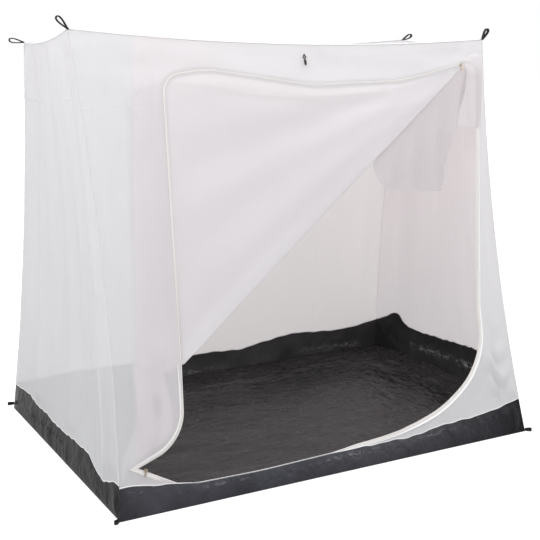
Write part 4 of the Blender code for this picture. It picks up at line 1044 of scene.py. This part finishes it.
GUSSET = ((-0.870, 0.198), (-0.853, 0.214), (-0.819, 0.231), (-0.785, 0.244), (-0.749, 0.268),
          (-0.721, 0.302), (-0.710, 0.340), (-0.708, 0.385), (-0.710, 0.430), (-0.713, 0.470),
          (-0.716, 0.510), (-0.722, 0.560), (-0.740, 0.610), (-0.800, 0.630), (-0.836, 0.600),
          (-0.842, 0.485), (-0.850, 0.383), (-0.858, 0.346), (-0.869, 0.321), (-0.885, 0.290),
          (-0.905, 0.250), (-0.930, 0.205), (-0.938, 0.160), (-0.930, 0.125), (-0.890, 0.122),
          (-0.868, 0.150))
GUSSET_GAP = ((-0.776, 0.446), (-0.756, 0.436), (-0.746, 0.405), (-0.752, 0.368), (-0.774, 0.362),
              (-0.784, 0.400))
LOBE = ((1.845, -0.004), (1.868, -0.030), (1.862, -0.059), (1.782, -0.100), (1.666, -0.155),
        (1.535, -0.232), (1.397, -0.324), (1.335, -0.288), (1.269, -0.229), (1.213, -0.175),
        (1.173, -0.128), (1.162, -0.089), (1.172, -0.050), (1.205, -0.004), (1.350, -0.004),
        (1.550, -0.004), (1.700, -0.004))
BUNCH = ((0.840, 1.698), (0.872, 1.722), (0.914, 1.732), (0.936, 1.706), (0.930, 1.612),
         (0.911, 1.500), (0.892, 1.402), (0.880, 1.393), (0.858, 1.399), (0.837, 1.405),
         (0.800, 1.408), (0.762, 1.411), (0.780, 1.468), (0.806, 1.520), (0.830, 1.585),
         (0.848, 1.650))


def gathered_layer(name, knots, depth_of, spacing, cloth, gap=None):
    holes = [closed_spline(gap, 5)] if gap else []
    flat, faces = filled_sheet(closed_spline(knots, 6), holes, spacing)
    points = front_points(flat, depth_of(flat))
    return new_piece(name, points, [f[::-1] for f in faces], cloth, flat + 2.0)


def gathers(flat):
    """Fine wrinkles that the gusset and the lobe share."""
    return wrinkles(front_points(flat), 9.0, 3, 17.0)


def gusset_depth(flat):
    behind_leaf = smooth(0.40, 0.56, flat[:, 1])
    return 0.018 + 0.022 * behind_leaf + 0.006 * np.sin(flat[:, 0] * 55.0 + flat[:, 1] * 6.0) \
        + gathers(flat) * 0.005


def lobe_depth(flat):
    below = (flat - CREASE_FOOT) @ -CREASE_SIDE
    fold = 0.012 * np.sin(flat[:, 0] * 46.0 + below * 5.0) * smooth(0.02, 0.20, below)
    fine = gathers(flat) * (0.001 + 0.003 * smooth(0.02, 0.15, below))
    return 0.0030 + 0.035 * below + fold + fine


def bunch_depth(flat):
    """The corner's slack lies over the zip, and dies away towards the wall round it."""
    signed = edge_distance(flat, DOOR) * np.where(inside(flat, DOOR), 1.0, -1.0)
    rise = smooth(0.0, 0.016, edge_distance(flat, closed_spline(BUNCH, 6)))
    within = -0.0040 + 0.0030 * np.sin(flat[:, 0] * 90.0)
    return mix(-0.0012 - 0.0028 * rise, within, smooth(0.004, 0.030, signed))


gusset = gathered_layer("door_gusset", GUSSET, gusset_depth, 0.012, SHADED_DOOR, GUSSET_GAP)
lobe = gathered_layer("door_lobe", [crease_places([k])[0] for k in LOBE], lobe_depth, 0.014,
                      SHADED_DOOR)
bunch = gathered_layer("door_bunch", BUNCH, bunch_depth, 0.009, WHITE_CORNER)


# Zip tapes and coils

def ribbon(name, inner, outer, surface, across, thickness, lift=0.0, crown=0.0, spans=2,
           closed=False, body="tent", place=front_points):
    """A band between two lines with as many points, crowned outward along its middle."""
    rows = [place(mix(inner, outer, j / spans), lift - crown * hump(j / spans))
            for j in range(spans + 1)]
    return new_strip(name, rows, run_lengths(inner), across, surface, thickness, body, closed)


TAPE_THICKNESS, COIL_THICKNESS, COIL_CROWN = 0.0006, 0.0012, 0.0010
TAPE_DEPTH, SHUT_TAPE_DEPTH, COIL_LIFT = 0.0014, -0.0009, 0.0004
MOST_TUCK = 0.0124
TUCK = MOST_TUCK * smooth(0.08, -0.04, DOOR[:, 0]) * (DOOR[:, 1] < 0.15) \
    * smooth(-0.840, -0.795, DOOR[:, 0])
TUCK += 0.0035 * (DOOR[:, 0] < -0.60) * smooth(0.20, 0.27, DOOR[:, 1]) \
    * smooth(0.54, 0.48, DOOR[:, 1])
TUCKED = smooth(0.0, MOST_TUCK * 0.7, TUCK)


def door_line(distance):
    """The doorway's edge moved in by a distance, less where the tape is tucked behind the sill."""
    back_a_millimetre = DOOR - offset_outline(DOOR, 0.001)
    return offset_outline(DOOR, distance) + back_a_millimetre * column(TUCK * 1000)


wall_tape = ribbon("wall_zip_tape", door_line(-0.0045), door_line(TAPE_START + TAPE_WIDTH),
                   ZIP_TAPE, TAPE_WIDTH, TAPE_THICKNESS,
                   lift=mix(SHUT_TAPE_DEPTH, TAPE_DEPTH, np.maximum(SHUT, TUCKED)),
                   crown=0.0004, closed=True)
wall_coil = ribbon("wall_zip_coil", door_line(CHAIN_START), door_line(MIDDLE_OF_ZIP - 0.0001),
                   COIL, CHAIN_WIDTH, COIL_THICKNESS,
                   lift=-COIL_LIFT * SHUT + TAPE_DEPTH * TUCKED, crown=COIL_CROWN, spans=4,
                   closed=True)
flap_coil = ribbon("flap_zip_coil", shut_stretch(MIDDLE_OF_ZIP + 0.0001),
                   shut_stretch(FLAP_CHAIN + CHAIN_WIDTH), COIL, CHAIN_WIDTH, COIL_THICKNESS,
                   lift=-COIL_LIFT, crown=COIL_CROWN, spans=4)
flap_tape = ribbon("flap_zip_tape", shut_stretch(FLAP_TAPE),
                   shut_stretch(FLAP_TAPE + TAPE_WIDTH + 0.0030), ZIP_TAPE, TAPE_WIDTH,
                   TAPE_THICKNESS, lift=TAPE_DEPTH)

# The doorway's hem swells on the lower right curve and narrows where it follows the sill
edge = open_stretch(0.0)
hem_swell = 0.0030 + 0.0087 * smooth(0.20, 0.50, edge[:, 0]) * smooth(0.75, 0.35, edge[:, 1]) \
    - 0.0028 * smooth(0.08, -0.04, edge[:, 0]) * smooth(0.24, 0.18, edge[:, 1])
ribbon("doorway_hem", edge + (open_stretch(-0.0010) - edge) * column(hem_swell * 1000 + 3),
       open_stretch(-0.0030), SEAM, 0.010, 0.0007, lift=-0.0012, crown=0.0016, spans=4)


def free_edge_band(name, start, width, surface, crown, spans, thickness):
    """A band along the door's free edge, behind the front wall."""
    edge = spaced(spline(FREE_KNOTS, 12), np.linspace(0.018, 0.975, 200))
    run = unit(np.gradient(edge, axis=0))
    outward = np.stack((-run[:, 1], run[:, 0]), axis=1)
    depth = hang_depth(edge) + 0.0012

    def place(line, lift):
        return front_points(crease_places(line), depth + lift)
    return ribbon(name, edge + outward * start, edge + outward * (start + width), surface, width,
                  thickness, crown=crown, spans=spans, body="door_free", place=place)


free_tape = free_edge_band("free_zip_tape", -0.0035, TAPE_WIDTH + 0.0038, ZIP_TAPE, 0.0, 2,
                           TAPE_THICKNESS)
free_coil = free_edge_band("free_zip_coil", 0.0006 + TAPE_WIDTH, CHAIN_WIDTH, COIL, COIL_CROWN, 4,
                           COIL_THICKNESS)
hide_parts("zip_tape_wall")
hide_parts("zip_chain_wall")
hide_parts("zip_chain_flap")
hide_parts("zip_tape_flap")
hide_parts("zip_tape_free")
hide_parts("zip_chain_free")


# Groundsheet: crinkled floor and the tub walls that rise from it

CORNER_REACH, CORNER_RISE = 0.090, 0.014
FLOOR_WIDTH = 2.0


def make_floor():
    """The floor, crinkled in long ridges that follow its sides, and turned up at its sides."""
    u, v, faces = grid(280, 220)
    cu, cv = column(u), column(v)
    front, back = EDGES["base_front"](u), EDGES["base_back"](u)
    left, right = EDGES["base_left"](v), EDGES["base_right"](v)
    flat = mix(mix(BASE["front_left"], BASE["front_right"], cu),
               mix(BASE["back_left"], BASE["back_right"], cu), cv)
    points = mix(front, back, cv) + mix(left, right, cu) - flat
    to_back, to_right, to_left = (1 - v) * DEPTH, (1 - u) * FLOOR_WIDTH, u * FLOOR_WIDTH
    near = np.minimum(to_back, to_right)
    beside = smooth(0.02, -0.10, to_right - to_back)

    def ridges(stretch, scale, octaves, seeds):
        """Noise drawn out along x or, beside the right side, along y."""
        drawn_out = (1.0, stretch, 1.0), (stretch, 1.0, 1.0)
        along_x, along_y = (wrinkles(points * np.array(axes), scale, octaves, seed)
                            for axes, seed in zip(drawn_out, seeds))
        return mix(np.abs(along_x), np.abs(along_y), beside)

    big = wrinkles(points * np.array((1.0, 2.2, 1.0)), 3.5, 4, 21.0)
    gathered = smooth(0.06, 0.20, near) * smooth(0.62, 0.30, near)
    ridge = ridges(3.6, 4.6, 4, (27.0, 29.0)) * mix(0.0015, 0.0110, smooth(0.75, 0.20, near)) \
        + ridges(3.4, 9.0, 2, (35.0, 39.0)) * 0.0085 * gathered
    lift = 0.0016 + border(u, v, 0.02, 0.02) * (0.0060 * (0.5 + 0.5 * np.clip(big, -1, 1)) + ridge)
    turned = np.clip(1 - np.minimum(near, to_left) / CORNER_REACH, 0, 1) ** 2 \
        * smooth(0.02, 0.14, v)
    points = points + column(lift + CORNER_RISE * turned) * -DOWN
    points[:, :2] = mix(points[:, :2], 0.0, column(0.004 + 0.008 * turned))
    made = new_piece("groundsheet_floor_cloth", points, faces, FLOOR_SHEET, points[:, :2])
    # The distance from the back and right sides, which the floor's painted light and shade follow
    shaded = made.data.attributes.new("from_sides", "FLOAT", "POINT")
    shaded.data.foreach_set("value", distance_from_sides(points))
    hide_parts("groundsheet_floor")
    return made


def distance_from_sides(points):
    """Distance from the back and the right of the floor, round at the corner between them; it
    grows slower in from the back, where the light of the doorway doesn't reach so far."""
    reach = 0.75
    to_back = reach - (0.70 - points[:, 1] - 0.30 * np.maximum(0.35 - points[:, 0], 0.0))
    to_right = reach - (1.05 - points[:, 0]) * 2.0
    both = np.hypot(np.maximum(to_back, 0.0), np.maximum(to_right, 0.0))
    return np.clip(reach - both - np.minimum(np.maximum(to_back, to_right), 0.0), 0.0, 1.0)


def tub_slack(side, u, t, points):
    """Outward slack of a tub wall: it bellies over the ground, with creases both ways."""
    rate = {"front": 61.0, "left": 47.0, "back": 57.0, "right": 45.0}[side]
    lines = np.sin(u * rate + 2.0 * np.sin(u * rate * 0.23)) * np.sin(u * rate * 0.37 + 1.0)
    middle = np.sin(np.pi * np.clip(t, 0, 1)) ** 0.7
    crease = np.exp(-((t - 0.52 + 0.10 * np.sin(u * 9.0)) / 0.10) ** 2)
    crushed = np.clip(wrinkles(points, 46.0, 3, rate + 3.0), -1, 1) * crease
    patchy = smooth(-0.1, 0.4, np.sin(u * 7.3 + rate))
    belly = {"front": 0.009, "left": 0.006, "back": 0.004, "right": 0.004}[side]
    return (0.0026 * lines + 0.0030 * wrinkles(points, 16.0, 3, rate) + belly) * middle \
        + 0.0046 * crushed * patchy


def make_tub(side):
    u, t, faces = grid(320, 22)
    height = tub_top(side, u)
    if side == "front":
        v = mix(0.0005, height, t)
        x = mix(front_edge_x("front_left", v), front_edge_x("front_right", v), u)
        points = front_points(np.stack((x, v), axis=1))
        normals = np.broadcast_to(-INWARD, points.shape)
    else:
        points = WALLS[side](u, mix(0.0003, height / HEIGHT, t))
        normals = wall_normals(WALLS[side], np.clip(u, 0.01, 0.99), np.clip(t * 0.08, 0.01, 1),
                               OUTSIDE[side])
        if side in ("left", "back"):
            faces = faces[:, ::-1]
    calm = smooth(0.0, 0.03, np.minimum(u, 1 - u))
    points = points + normals * column(tub_slack(side, u, t, points) * calm)
    made = new_piece("tub_" + side + "_cloth", points, faces, TUB_SHEETS[side],
                     np.stack((u * 2.0, t * 0.15), axis=1))
    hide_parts("tub_wall_" + side)
    return made


floor_cloth = make_floor()
tubs = {side: make_tub(side) for side in ("front", "left", "back", "right")}


# Seams: the hem along the tub's top edge, the corner seams and the roof's edge

SEAM_THICKNESS, SEAM_PROUD = 0.0007, 0.0012


def band_along(name, line, across, width, surface, proud, pucker=0.0):
    """A flat seam band that follows a line in space, with its width near the direction across.
    A gathered seam puckers: it stands off unevenly along its length."""
    run = unit(np.gradient(line, axis=0))
    side = np.broadcast_to(np.asarray(across, float), line.shape)
    side = unit(side - run * np.sum(side * run, axis=1, keepdims=True))
    out = np.cross(run, side)
    out *= np.sign(np.sum(out * proud, axis=1, keepdims=True))
    width = column(np.broadcast_to(width, len(line)))
    uneven = np.abs(wrinkles(line, 95.0, 2, 5.0)) + 0.3 * wrinkles(line, 260.0, 1, 8.0)
    rows = []
    for share in (j / 3 - 0.5 for j in range(4)):
        rise = SEAM_PROUD * (1 - abs(share) * 1.2) + column(pucker * uneven)
        rows.append(line + side * (share * width) + out * rise)
    return new_strip(name, rows, run_lengths(line), width[:, 0], surface, SEAM_THICKNESS)


share = np.linspace(0.002, 0.998, 220)
for side in ("left", "right", "back"):
    line = WALLS[side](share, tub_top(side, share) / HEIGHT)
    band_along("tub_hem_" + side, line, (0, 0, 1), 0.004, SEAM, OUTSIDE[side])
band_along("tub_hem_front", front_points(tub_front_line(220)), (0, 0, 1),
                           mix(0.005, 0.0007, beside_sill(np.linspace(0, 1, 221))), SEAM, -INWARD)

SEAM_STARTS = {"front_left": 0.127, "front_right": 0.158, "back_left": 0.134, "back_right": 0.176}
for corner in BASE:
    front = corner.startswith("front")
    rise = np.linspace(SEAM_STARTS[corner] / HEIGHT, 0.993, 460)
    line = corner_edge(corner)(rise)
    out = np.array((-1.0 if corner.endswith("left") else 1.0, -1.0 if front else 1.0, 0.0))
    wobble = wrinkles(line, 9.0, 2, 31.0) * 0.0020 + wrinkles(line, 70.0, 2, 37.0) * 0.0012
    line = line + column(wobble * hump(rise) ** 0.3) * X_AXIS
    band_along("corner_seam_" + corner, line, np.array((-out[1], out[0], 0.0)) * 0.7,
               0.0026 if front else 0.002, FINE_SEAM, out, pucker=0.0012)
for side, (x, y) in {"front": (0, -1), "back": (0, 1), "left": (-1, 0), "right": (1, 0)}.items():
    line = EDGES["top_" + side](np.linspace(0.003, 0.997, 140))
    band_along("roof_seam_" + side, line, (-x, -y, 1), 0.006, FINE_SEAM, np.array((x, y, 1.0)))


# Hanging loops, peg loops and the toggle's elastic

PLY_OFFSET = 0.0009
MOST_SWELL = 0.6495  # the greatest value of the teardrop's curve
KNOT_SHARE = 0.22  # of the loop's length, where its plies are sewn together


def band_loop(name, node, body, root, away, up, length, width, band_width, thickness):
    """A loop of flat band: two plies run together from the root and part round a teardrop eye."""
    away, up = np.asarray(away, float), np.asarray(up, float)
    side = np.cross(away, up)
    side /= np.linalg.norm(side)
    angles = np.linspace(0, 2 * math.pi, 97)
    reach = length * (1 - np.cos(angles)) / 2
    swell = np.abs(np.sin(angles)) * np.sin(angles / 2) ** 2 / MOST_SWELL
    swell = np.where(reach < length * KNOT_SHARE, swell * 0.6, swell)
    y = np.sign(np.sin(angles)) * (PLY_OFFSET + (width / 2 - PLY_OFFSET) * swell)
    y[[0, len(y) // 2, -1]] = 0.0
    centre = np.asarray(root) + reach[:, None] * away + y[:, None] * up
    rows = [centre + side * ((j / 4 - 0.5) * band_width) for j in range(5)]
    made = new_strip(name, rows, run_lengths(centre), band_width, BLACK, thickness, body)
    round_off = made.modifiers.new("edges", "BEVEL")
    round_off.width = 0.0003
    round_off.segments = 2
    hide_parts(node)


# Angle above level in degrees, and length
HANGING = {"front_left": (48.0, 0.060), "front_right": (58.0, 0.054),
           "back_left": (10.0, 0.064), "back_right": (25.0, 0.060)}
for corner, (degrees, length) in HANGING.items():
    outward = -1.0 if corner.endswith("left") else 1.0
    lean = math.radians(degrees)
    away = np.array((outward * math.cos(lean), 0, math.sin(lean)))
    up = np.array((-outward * math.sin(lean), 0, math.cos(lean)))
    band_loop("hanging_band_" + corner, "hanging_loop_" + corner, "hanging_" + corner,
              TOP[corner] - away * 0.001, away, up, length, 0.017, 0.014, 0.0044)

# Angle forward in degrees, and height off the ground
PEGGED = {"front_left": (30.0, 0.0088), "front_right": (30.0, 0.0088),
          "back_left": (-8.0, 0.0268), "back_right": (-8.0, 0.0088)}
for corner, (degrees, height) in PEGGED.items():
    outward = -1.0 if corner.endswith("left") else 1.0
    turn = math.radians(degrees)
    away = np.array((outward * math.cos(turn), -math.sin(turn), 0.0))
    root = corner_edge(corner)([height / HEIGHT])[0] + away * 0.0012
    band_loop("peg_band_" + corner, "peg_loop_" + corner, "peg_" + corner, root, away,
              (-away[1], away[0], 0.0), 0.030, 0.012, 0.014, 0.0014)

anchor = front_points(np.array(((0.026, 1.738),)), -0.0025)[0]
turn = math.radians(8.0)
away = -SLOPE * math.cos(turn) - INWARD * math.sin(turn)
band_loop("toggle_band", "toggle_loop", "toggle_band", anchor, away, X_AXIS, 0.0168, 0.0120,
          0.0046, 0.0024)


# Carried-over metal and plastic

for node, surface in (("zip_slider_upper", METAL), ("zip_slider_lower", METAL),
                      ("zip_pull_upper", METAL), ("zip_pull_lower", METAL),
                      ("door_toggle", PLASTIC)):
    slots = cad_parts[node].data.materials
    for slot in range(len(slots)):
        slots[slot] = surface


# Floor, backdrop, light and camera

def linked(name, data):
    made = bpy.data.objects.new(name, data)
    bpy.context.scene.collection.objects.link(made)
    return made


def studio_floor(name, size, height):
    """A matt floor that the camera sees as plain white, with its shadows kept."""
    surface, tree, shader = node_material(name, {
        "Base Color": (0.50, 0.50, 0.50, 1.0), "Roughness": 0.9, "Specular IOR Level": 0.1,
        "Emission Color": (1.0, 1.0, 1.0, 1.0)})
    path = add_node(tree, "ShaderNodeLightPath")
    glow = math_node(tree, "MULTIPLY", path.outputs["Is Camera Ray"], 0.66)
    tree.links.new(glow, shader.inputs["Emission Strength"])
    mesh = bpy.data.meshes.new(name)
    mesh.from_pydata([(-size, -size, 0), (size, -size, 0), (size, size, 0), (-size, size, 0)], [],
                     [(0, 1, 2, 3)])
    mesh.materials.append(surface)
    made = linked(name, mesh)
    made.location = (0, 0, height)


def area_light(name, place, aim, size, power):
    data = bpy.data.lights.new(name, "AREA")
    data.shape = "RECTANGLE"
    data.size, data.size_y = size
    data.energy = power
    made = linked(name, data)
    made.location = place
    made.rotation_euler = (Vector(aim) - Vector(place)).to_track_quat("-Z", "Y").to_euler()


studio_floor("studio_floor", 30.0, -0.0005)
area_light("key_left", (-4.5, -3.5, 4.2), (0, 0, 0.8), (3.5, 3.0), 114)
area_light("side_left", (-6.0, 0.5, 3.0), (0, 0, 0.8), (3.0, 3.0), 50)
area_light("fill_right", (4.5, -3.0, 3.0), (0, 0, 0.8), (3.5, 3.0), 60)
area_light("top", (0.3, 0.4, 5.0), (0, 0, 0.5), (4.0, 4.0), 130)

world = bpy.data.worlds.new("studio")
bpy.context.scene.world = world
world.use_nodes = True
tree = world.node_tree
back = tree.nodes["Background"]
back.inputs["Color"].default_value = (1.0, 1.0, 1.0, 1.0)
path = add_node(tree, "ShaderNodeLightPath")
seen = math_node(tree, "MAXIMUM", path.outputs["Is Camera Ray"], path.outputs["Is Glossy Ray"])
seen = math_node(tree, "MAXIMUM", seen, path.outputs["Is Transmission Ray"])
strength = math_node(tree, "MULTIPLY_ADD", seen, 0.06, 0.94)
tree.links.new(strength, back.inputs["Strength"])

# The photograph's camera: angles in radians, focal length and width in pixels
YAW, PITCH, ROLL, FOCAL, PIXELS = 0.466, 0.223, -0.007, 1000.7, 540.0
camera_data = bpy.data.cameras.new("camera")
camera_data.sensor_fit = "HORIZONTAL"
camera_data.sensor_width = 36.0
camera_data.lens = FOCAL / PIXELS * camera_data.sensor_width
camera_data.clip_start = 0.05
camera_data.clip_end = 100.0
camera = linked("camera", camera_data)
forward = Vector((math.sin(YAW) * math.cos(PITCH), math.cos(YAW) * math.cos(PITCH),
                  -math.sin(PITCH)))
right = Vector((math.cos(YAW), -math.sin(YAW), 0.0))
upward = right.cross(forward)
turned_right = right * math.cos(ROLL) + upward * math.sin(ROLL)
turned_up = upward * math.cos(ROLL) - right * math.sin(ROLL)
pose = Matrix((turned_right, turned_up, -forward)).transposed().to_4x4()
pose.translation = Vector((-2.004, -4.020, 1.740))
camera.matrix_world = pose
bpy.context.scene.camera = camera
bpy.context.scene.view_settings.view_transform = "Standard"
